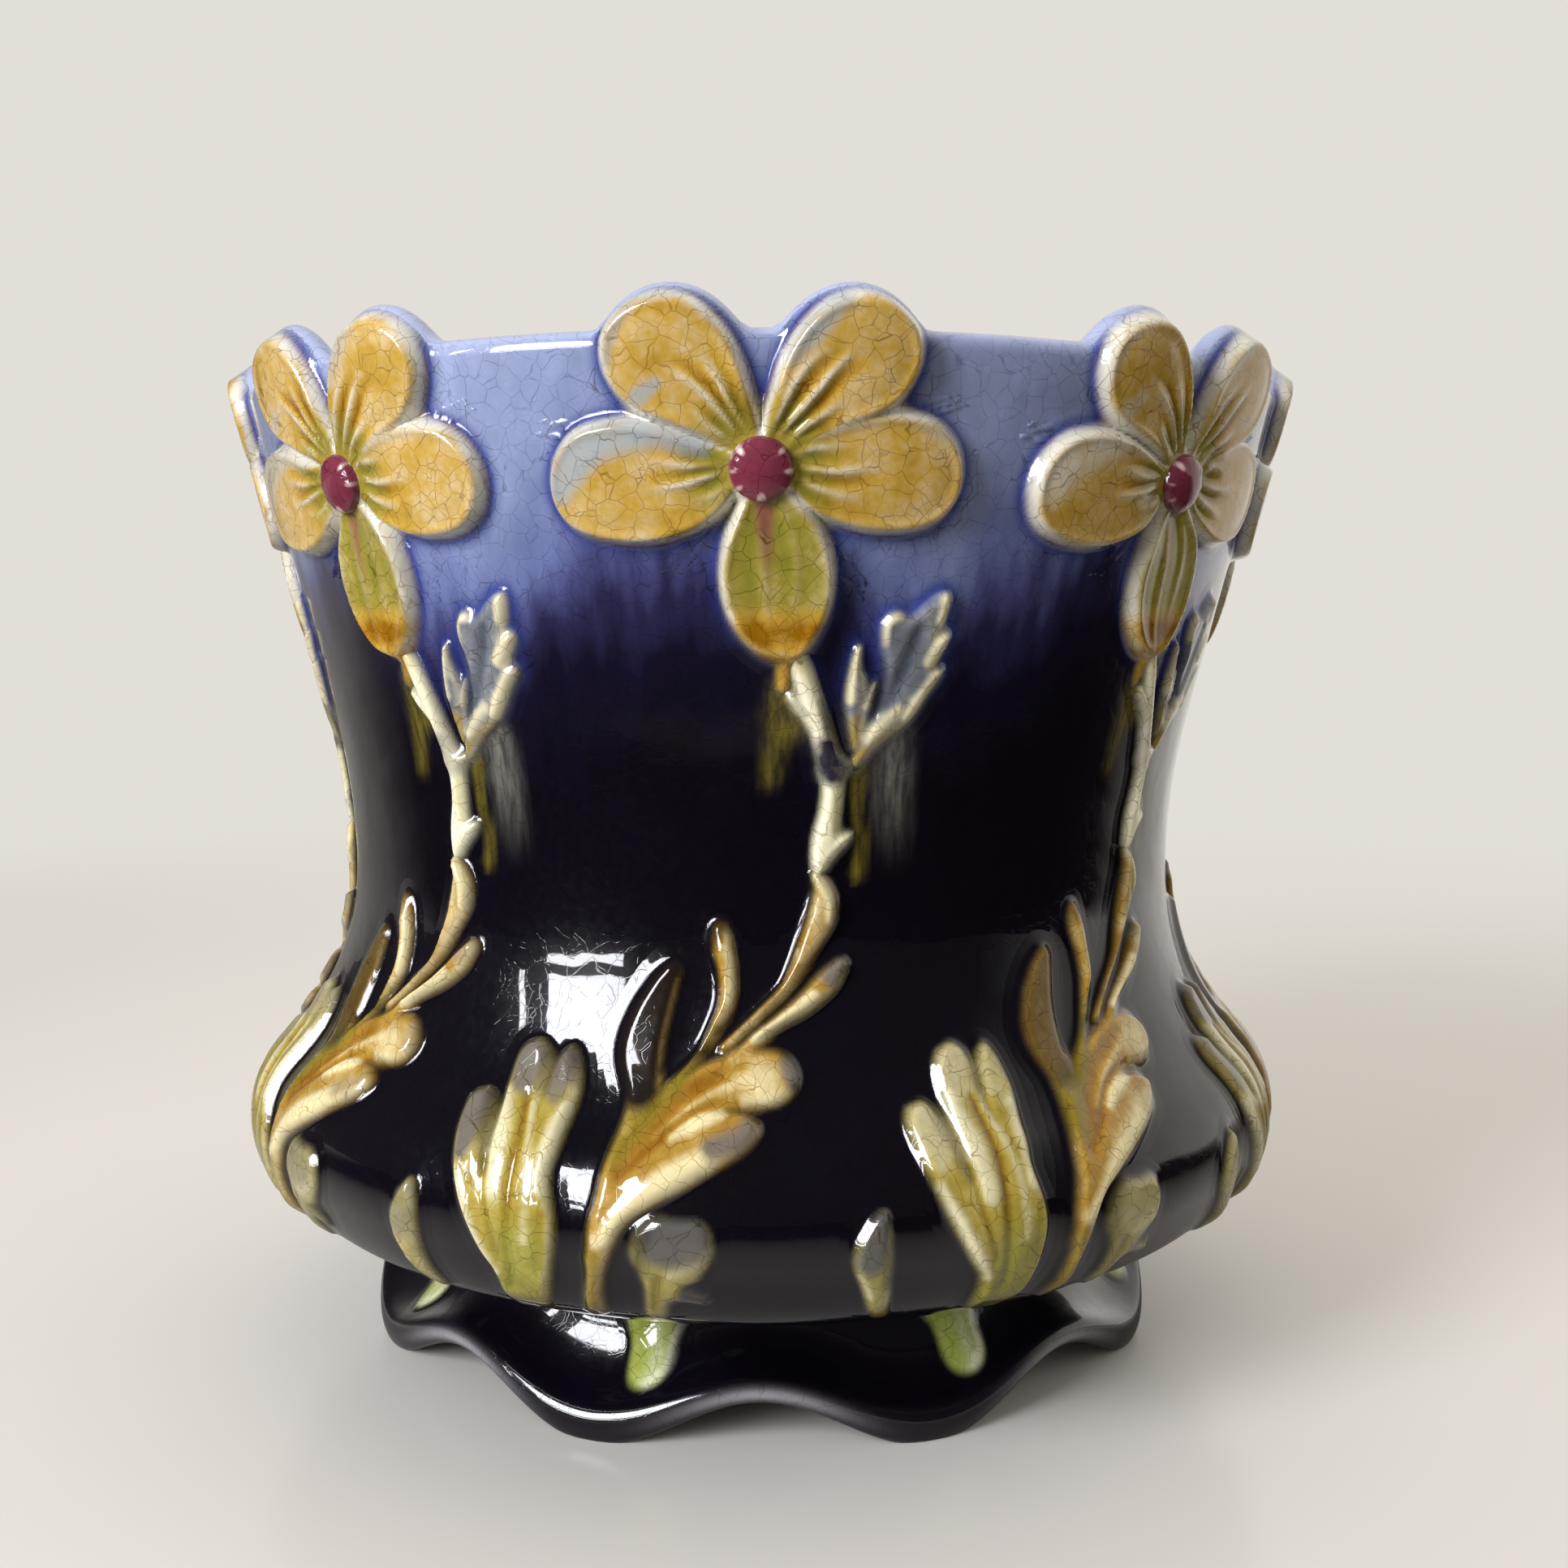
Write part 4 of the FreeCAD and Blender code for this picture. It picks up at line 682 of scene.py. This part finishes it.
def points_of(mesh):
    flat = np.empty(len(mesh.vertices) * 3, np.float32)
    mesh.vertices.foreach_get("co", flat)
    return flat.reshape(-1, 3).astype(float)


def add_piece(name, mesh, slot, *nodes):
    piece = bpy.data.objects.new(name, mesh)
    bpy.context.scene.collection.objects.link(piece)
    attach(piece, "root")
    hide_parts(*nodes)


def sprig_mesh(name, fields, x_span, z_span, step, material, place=on_wall, depth=BACK_DEPTH, aspect=1.0):
    """A sprigged relief: a fine sheet cut to its outline and apron and raised, its back in the wall."""
    bm = bmesh.new()
    wide, tall = x_span[1] - x_span[0], z_span[1] - z_span[0]
    columns, rows = round(wide / step), round(tall / (step * aspect))
    bmesh.ops.create_grid(bm, x_segments=columns, y_segments=rows, size=0.5)
    bmesh.ops.scale(bm, vec=(wide, tall, 1), verts=bm.verts)
    bmesh.ops.translate(bm, vec=(sum(x_span) / 2, sum(z_span) / 2, 0), verts=bm.verts)
    flat = np.array([v.co[:2] for v in bm.verts])
    outside = fields(flat[:, 0], flat[:, 1])["outside"]
    beyond = [v for v, far in zip(bm.verts[:], outside > APRON_REACH) if far]
    bmesh.ops.delete(bm, geom=beyond, context="VERTS")
    raised = bmesh.ops.extrude_face_region(bm, geom=bm.faces[:], use_keep_orig=True)["geom"]
    bmesh.ops.translate(bm, vec=(0, 0, 1), verts=[g for g in raised if isinstance(g, bmesh.types.BMVert)])
    bmesh.ops.recalc_face_normals(bm, faces=bm.faces)
    mesh = bpy.data.meshes.new(name)
    bm.to_mesh(mesh)
    bm.free()
    points = points_of(mesh)
    made = fields(points[:, 0], points[:, 1])
    height = np.where(points[:, 2] > 0.5, made["height"], -depth)
    finish_mesh(mesh, place(points[:, 0], points[:, 1], height), made["glaze"], made["runs"], material)
    return mesh


# How much of the grey glaze reached the tips on each unit, from the front one round to the right
GREY_SHARES = (1.0, 0.3, 0.9, 0.6, 1.1, 0.5, 0.8, 0.55)


def fire_unit(mesh, share):
    """Where less grey glaze reached a unit's tips they stay cream, and the dark veil over them is thinner."""
    marks = {}
    for name in ("glaze", "runs"):
        values = np.empty(4 * len(mesh.vertices), np.float32)
        mesh.attributes[name].data.foreach_get("color", values)
        marks[name] = values.reshape(-1, 4)
    grey = marks["glaze"][:, 1].copy()
    marks["glaze"][:, 1] = share * grey
    marks["glaze"][:, 2] = np.clip(marks["glaze"][:, 2] + 0.4 * (1 - share) * grey, 0, 1)
    marks["runs"][:, 2] *= 0.5 + 0.5 * share
    for name, values in marks.items():
        mesh.attributes[name].data.foreach_set("color", values.ravel())


def round_the_pot(mesh, piece_name, slot, node_name):
    """The same sprig on each unit, each a piece of its own with its own firing."""
    for unit in range(UNITS):
        copy = mesh.copy()
        fire_unit(copy, GREY_SHARES[unit])
        copy.transform(Matrix.Rotation(math.tau * unit / UNITS, 4, "Z"))
        add_piece(f"glazed_{piece_name}_{unit + 1}", copy, slot, node_name.format(unit + 1))


# The pot: its section spun round, then the lip raised behind the petals
def pot_section():
    section = [(r, UNDERSIDE) for r in np.linspace(0, BULGE_CENTRE[0], 8)[:-1]]
    top = math.asin((SHOULDER_Z - BULGE_CENTRE[1]) / BULGE_ARC)
    for angle in np.linspace(-math.pi / 2, top, 30):
        section.append((BULGE_CENTRE[0] + BULGE_ARC * math.cos(angle),
                        BULGE_CENTRE[1] + BULGE_ARC * math.sin(angle)))
    tilt = math.atan(FLARE_SLOPE)
    lip_z = RIM_Z - LIP
    for height in np.linspace(SHOULDER_Z, lip_z, 92)[1:]:
        section.append((float(wall_radius(height)), height))
    middle = Vector((float(wall_radius(lip_z)), lip_z)) + LIP * Vector((-math.cos(tilt), math.sin(tilt)))
    for angle in np.linspace(-tilt, math.pi - tilt, 11)[1:]:
        section.append((middle.x + LIP * math.cos(angle), middle.y + LIP * math.sin(angle)))
    inner = []
    for height in np.linspace(SHOULDER_Z, lip_z, 52):
        slope = float(wall_slope(height))
        length = math.hypot(1, slope)
        inner.append((float(wall_radius(height)) - WALL / length, height + WALL * slope / length))
    section += [p for p in reversed(inner) if p[1] < section[-1][1] - 0.5]
    for angle in np.linspace(top, -math.pi / 2, 16)[1:]:
        section.append((BULGE_CENTRE[0] + (BULGE_ARC - WALL) * math.cos(angle),
                        BULGE_CENTRE[1] + (BULGE_ARC - WALL) * math.sin(angle)))
    section += [(r, FLOOR) for r in np.linspace(BULGE_CENTRE[0], 0, 8)[1:]]
    return section


def spun_mesh(name, section, steps, closed):
    """A section turned through a full circle about the pot's axis, in millimetres."""
    bm = bmesh.new()
    ring = bm.verts.layers.float.new("ring")
    line = []
    for place, (r, z) in enumerate(section):
        vert = bm.verts.new((0, -r, z))
        vert[ring] = place
        line.append(vert)
    edges = [bm.edges.new(pair) for pair in zip(line, line[1:] + line[:1] if closed else line[1:])]
    bmesh.ops.spin(bm, geom=line + edges, cent=(0, 0, 0), axis=(0, 0, 1), angle=math.tau, steps=steps,
                   use_merge=True)
    bmesh.ops.remove_doubles(bm, verts=bm.verts, dist=1e-4)
    bmesh.ops.recalc_face_normals(bm, faces=bm.faces)
    mesh = bpy.data.meshes.new(name)
    bm.to_mesh(mesh)
    bm.free()
    return mesh


def make_pot():
    section = pot_section()
    mesh = spun_mesh("pot", section, POT_STEPS, False)
    points = points_of(mesh)
    turn = np.arctan2(points[:, 0], -points[:, 1])
    unit_turn = (turn + math.pi / UNITS) % (math.tau / UNITS) - math.pi / UNITS
    raise_share = np.clip((points[:, 2] - 168) / 20, 0, 1)
    lift = rim_lift(unit_turn * RIM_RADIUS) * raise_share
    reach = np.hypot(points[:, 0], points[:, 1])
    grown = 1 + lift * FLARE_SLOPE / np.maximum(reach, 1)
    points[:, :2] *= grown[:, None]
    points[:, 2] += lift
    top = RIM_Z + lift
    lip = np.exp(-((points[:, 2] - top) / 0.9) ** 2) * (raise_share > 0.99)
    glaze = np.zeros((len(points), 4))
    glaze[:, 2] = 0.55 * lip
    runs = np.zeros((len(points), 4))
    across, z = unit_turn * wall_radius(points[:, 2]), points[:, 2]
    outer = reach > wall_radius(np.clip(z, 28, RIM_Z)) - 1.0
    runs[:, 0], runs[:, 1] = outer * np.stack(wall_runs(across, z))
    finish_mesh(mesh, points, glaze, runs, GLAZES["pot"])
    add_piece("glazed_pot", mesh, "pot_glaze", "pot_body")


def make_foot():
    rings = np.linspace(0, len(FOOT_RINGS) - 1, FOOT_POINTS)
    section = [(float(np.hypot(p[0], p[1])), float(p[2])) for p in foot_place(np.zeros_like(rings), rings)]
    mesh = spun_mesh("foot", section, FOOT_STEPS, True)
    points = points_of(mesh)
    place = np.empty(len(points), np.float32)
    mesh.attributes["ring"].data.foreach_get("value", place)
    ring = rings[np.clip(np.rint(place).astype(int), 0, len(rings) - 1)]
    turn = np.arctan2(points[:, 0], -points[:, 1])
    glaze = np.zeros((len(points), 4))
    # The lip is pale where the glaze runs thin, and far brighter at the arches as a painted highlight
    arch = (1 + np.cos(UNITS * turn)) / 2
    glaze[:, 2] = np.exp(-((ring - FOOT_LIP_RING) / 0.55) ** 2) * (0.02 + 0.9 * arch ** 2)
    runs = np.zeros((len(points), 4))
    finish_mesh(mesh, foot_place(turn, ring), glaze, runs, GLAZES["foot"])
    add_piece("glazed_foot", mesh, "foot_glaze", "foot_skirt")


TONGUE_TURN = math.radians(-15.5)


def on_foot(across, ring, height):
    return foot_place(TONGUE_TURN + across / (NECK_RADIUS + 2), ring, height)


make_pot()
make_foot()
# Each sprig: its fields, span across and in height, step of its sheet, glaze, slot and the solid it covers
SPRIGS = [
    ("flower", flower_fields, (-40, 39), (130.5, 201.5), 0.5, "petal", "petal_glaze", "flower_{}"),
    ("flower_eye", eye_fields, (-6, 6), (EYE_Z - 6, EYE_Z + 6), 0.25, "eye", "eye_glaze", "flower_eye_{}"),
    ("stem", lambda x, z: leaf_fields(x, z, STEM, STEM_STROKES, 1.7, 0.5, 0.1),
     (-1, 21), (98, 149), 0.4, "stem", "stem_glaze", "stem_{}"),
    ("upper_leaf", lambda x, z: leaf_fields(x, z, UPPER_LEAF, UPPER_LEAF_STROKES, 1.4, 0.5, 0.3),
     (8, 37), (117, 157), 0.4, "upper_leaf", "leaf_glaze", "upper_leaf_{}"),
    ("acanthus_leaf", lambda x, z: leaf_fields(x, z, ACANTHUS, ACANTHUS_STROKES, 1.9, 0.8, 0.5, 32),
     (-35, 21), (32, 111), 0.45, "leaf", "leaf_glaze", "acanthus_leaf_{}"),
    ("side_leaf", lambda x, z: leaf_fields(x, z, SIDE_LEAF, SIDE_LEAF_STROKES, 1.9, 0.8, 0.2, 32),
     (-60, -25), (32, 80), 0.45, "side_leaf", "leaf_glaze", "side_leaf_{}"),
    ("bract", lambda x, z: leaf_fields(x, z, BRACT, BRACT_STROKES, 1.4, 1.2, 0.5, 32),
     (-26, -2), (32, 59), 0.45, "bract", "leaf_glaze", "bracts"),
    ("small_bract", lambda x, z: leaf_fields(x, z, SMALL_BRACT, SMALL_BRACT_STROKES, 1.6, 0.9, 0.1, 32),
     (9, 28), (32, 58), 0.45, "bract", "leaf_glaze", "small_bracts"),
]
for piece_name, fields, x_span, z_span, step, glaze_name, slot, node_name in SPRIGS:
    sprig = sprig_mesh(piece_name, fields, x_span, z_span, step, GLAZES[glaze_name])
    round_the_pot(sprig, piece_name, slot, node_name)
tongue = sprig_mesh("foot_tongue", tongue_fields, (-12, 12), (0.3, 6.2), 0.4, GLAZES["tongue"], on_foot,
                    depth=1.0, aspect=0.15)
round_the_pot(tongue, "foot_tongue", "leaf_glaze", "foot_tongues")


# Stage: a pale table top that melts into the backdrop, a window on the left, a pale wall behind on the right
# The last table colour is painted shade: the dark the table shows to all but the camera away from the pot
BACKDROP, TABLE, TABLE_FAR_SHADE = "#e3dfd8", "#e1ddd7", "#282523"
ROOM_LIGHT, DAYLIGHT = "#fbf6ee", "#f7f8ff"
TABLE_RADIUS = 6.0
# Distances from the pot's axis in metres: where the table melts into the backdrop, where painted shade
# darkens it to all but the camera, and where a painted shadow of the pot lies on it
MELT_SPAN, DARKEN_SPAN, SHADE_SPAN = (0.3, 0.95), (0.14, 0.32), (0.09, 0.14)
# The part of the table that the glaze mirrors brightly: how far behind the axis, how far to the right
BEHIND_SPAN, RIGHT_SPAN = (0.05, 0.3), (-0.35, 0.05)
# Directions of the light side of the room, and of the wall that the glaze mirrors
LIGHT_SIDE, PALE_WALL = (0.42, 0.9, 0.1), (0.62, 0.78, 0.1)
# Panes of the window: azimuth and elevation in degrees, width and height in metres
WINDOW = [
    ("pane", -45.4, 22.5, 0.54, 0.72),
    ("low_pane", -45.4, 4.5, 0.54, 0.07),
    ("side_light", -63, 16, 0.04, 0.45),
]
WINDOW_AIM, WINDOW_AWAY, WINDOW_RADIANCE = Vector((0, 0, 0.1)), 1.5, 20.0
# Camera, as the photo was taken: place in metres, tilt down in degrees, lens and sensor in millimetres
CAMERA_PLACE, CAMERA_TILT = (0, -0.3772, 0.14747), 5.474
LENS, SENSOR, LENS_SHIFT, NEAR_CLIP = 39.97, 36.0, 0.0145, 0.01


def seen_share(tree, path, share):
    """How much of the backdrop a ray meets: all for the camera, a share for what the glaze mirrors."""
    mirrored = [path["Is Glossy Ray"], path["Is Transmission Ray"]]
    mirrored = put(tree, "ShaderNodeMath", mirrored, operation="MAXIMUM")
    mirrored = put(tree, "ShaderNodeMath", [mirrored, share], operation="MULTIPLY")
    return put(tree, "ShaderNodeMath", [mirrored, path["Is Camera Ray"]], operation="MAXIMUM")


def make_table():
    """Satin to the camera; to other light a top with painted shade: dimmed all over, darker in a painted
    shadow round the pot, and dark away from it to keep the glaze deep.
    """
    bm = bmesh.new()
    bmesh.ops.create_circle(bm, cap_ends=True, segments=128, radius=TABLE_RADIUS)
    mesh = bpy.data.meshes.new("table_top")
    bm.to_mesh(mesh)
    bm.free()
    material = bpy.data.materials.new("satin_white_laminate")
    tree = empty_tree(material)
    place = put(tree, "ShaderNodeTexCoord", out="Object")
    apart = put(tree, "ShaderNodeVectorMath", [place], out="Value", operation="LENGTH")
    axes = put(tree, "ShaderNodeSeparateXYZ", [place], out=None).outputs
    path = put(tree, "ShaderNodeLightPath", out=None).outputs
    behind = put(tree, "ShaderNodeMapRange", [axes["Y"], *BEHIND_SPAN])
    right = put(tree, "ShaderNodeMapRange", [axes["X"], *RIGHT_SPAN, 0.25, 1.0])
    behind = put(tree, "ShaderNodeMath", [behind, right], operation="MULTIPLY")
    seen = seen_share(tree, path, behind)
    unseen = put(tree, "ShaderNodeMath", [1.0, seen], operation="SUBTRACT")
    # Painted shade: away from the pot the table turns dark to all but the camera
    far_shade = put(tree, "ShaderNodeMapRange", [apart, *DARKEN_SPAN])
    far_shade = put(tree, "ShaderNodeMath", [far_shade, unseen], operation="MULTIPLY")
    tones = {0: far_shade, 6: colour(TABLE), 7: colour(TABLE_FAR_SHADE)}
    tone = put(tree, "ShaderNodeMix", tones, out=2, data_type="RGBA")
    # Painted shadow: to all but the camera the table is dimmed, and darker still close round the pot
    shadow_near_pot = put(tree, "ShaderNodeMapRange", [apart, *SHADE_SPAN, 0.35, 0.62])
    tone = put(tree, "ShaderNodeVectorMath", {0: tone, "Scale": shadow_near_pot}, operation="SCALE")
    far = put(tree, "ShaderNodeMapRange", [apart, *MELT_SPAN], interpolation_type="SMOOTHSTEP")
    far = put(tree, "ShaderNodeMath", [far, seen], operation="MULTIPLY")
    sheet = put(tree, "ShaderNodeBsdfPrincipled", {
        "Base Color": colour(TABLE), "Roughness": 0.2, "Specular IOR Level": 0.5})
    bounce = put(tree, "ShaderNodeBsdfDiffuse", {"Color": tone})
    top = put(tree, "ShaderNodeMixShader", [path["Is Camera Ray"], bounce, sheet])
    glow = put(tree, "ShaderNodeEmission", {"Color": colour(BACKDROP), "Strength": 1.0})
    mixed = put(tree, "ShaderNodeMixShader", [far, top, glow])
    put(tree, "ShaderNodeOutputMaterial", {"Surface": mixed}, out=None)
    mesh.materials.append(material)
    table = bpy.data.objects.new("table_top", mesh)
    bpy.context.scene.collection.objects.link(table)


def make_room():
    """A room that is light on one side, with a wall that the camera sees and the glaze mirrors."""
    world = bpy.data.worlds.new("pale_room")
    bpy.context.scene.world = world
    tree = empty_tree(world)
    way = put(tree, "ShaderNodeTexCoord", out="Generated")
    path = put(tree, "ShaderNodeLightPath", out=None).outputs
    light, wall = (
        put(tree, "ShaderNodeVectorMath", [way, side], out="Value", operation="DOT_PRODUCT")
        for side in (LIGHT_SIDE, PALE_WALL))
    bright = [light, -0.35, 0.75, 0.04, 0.85]
    bright = put(tree, "ShaderNodeMapRange", bright, interpolation_type="SMOOTHSTEP")
    dull = put(tree, "ShaderNodeMath", [1.0, path["Is Glossy Ray"]], operation="SUBTRACT")
    bright = put(tree, "ShaderNodeMath", [bright, 0.36], operation="ADD")
    bright = put(tree, "ShaderNodeMath", [bright, dull, 0.05], operation="MULTIPLY_ADD")
    room = put(tree, "ShaderNodeBackground", {"Color": colour(ROOM_LIGHT), "Strength": bright})
    back = put(tree, "ShaderNodeMapRange", [wall, 0.1, 0.8], interpolation_type="SMOOTHSTEP")
    seen = seen_share(tree, path, back)
    backdrop = put(tree, "ShaderNodeBackground", {"Color": colour(BACKDROP), "Strength": 1.0})
    mixed = put(tree, "ShaderNodeMixShader", [seen, room, backdrop])
    put(tree, "ShaderNodeOutputWorld", {"Surface": mixed}, out=None)


def make_window():
    for name, azimuth, elevation, width, height in WINDOW:
        lamp = bpy.data.lights.new(name, "AREA")
        lamp.shape = "RECTANGLE"
        lamp.size, lamp.size_y = width, height
        lamp.color = colour(DAYLIGHT)[:3]
        lamp.energy = WINDOW_RADIANCE * math.pi * width * height
        a, e = math.radians(azimuth), math.radians(elevation)
        direction = Vector((math.sin(a) * math.cos(e), -math.cos(a) * math.cos(e), math.sin(e)))
        holder = bpy.data.objects.new(name, lamp)
        holder.location = WINDOW_AIM + WINDOW_AWAY * direction
        holder.rotation_euler = direction.to_track_quat("Z", "Y").to_euler()
        bpy.context.scene.collection.objects.link(holder)


def make_camera():
    lens = bpy.data.cameras.new("camera")
    lens.lens, lens.sensor_width = LENS, SENSOR
    lens.shift_x = LENS_SHIFT
    lens.clip_start = NEAR_CLIP
    camera = bpy.data.objects.new("camera", lens)
    camera.location = CAMERA_PLACE
    camera.rotation_euler = (math.radians(90 - CAMERA_TILT), 0, 0)
    bpy.context.scene.collection.objects.link(camera)
    bpy.context.scene.camera = camera


make_table()
make_room()
make_window()
make_camera()
bpy.context.scene.view_settings.view_transform = "Standard"
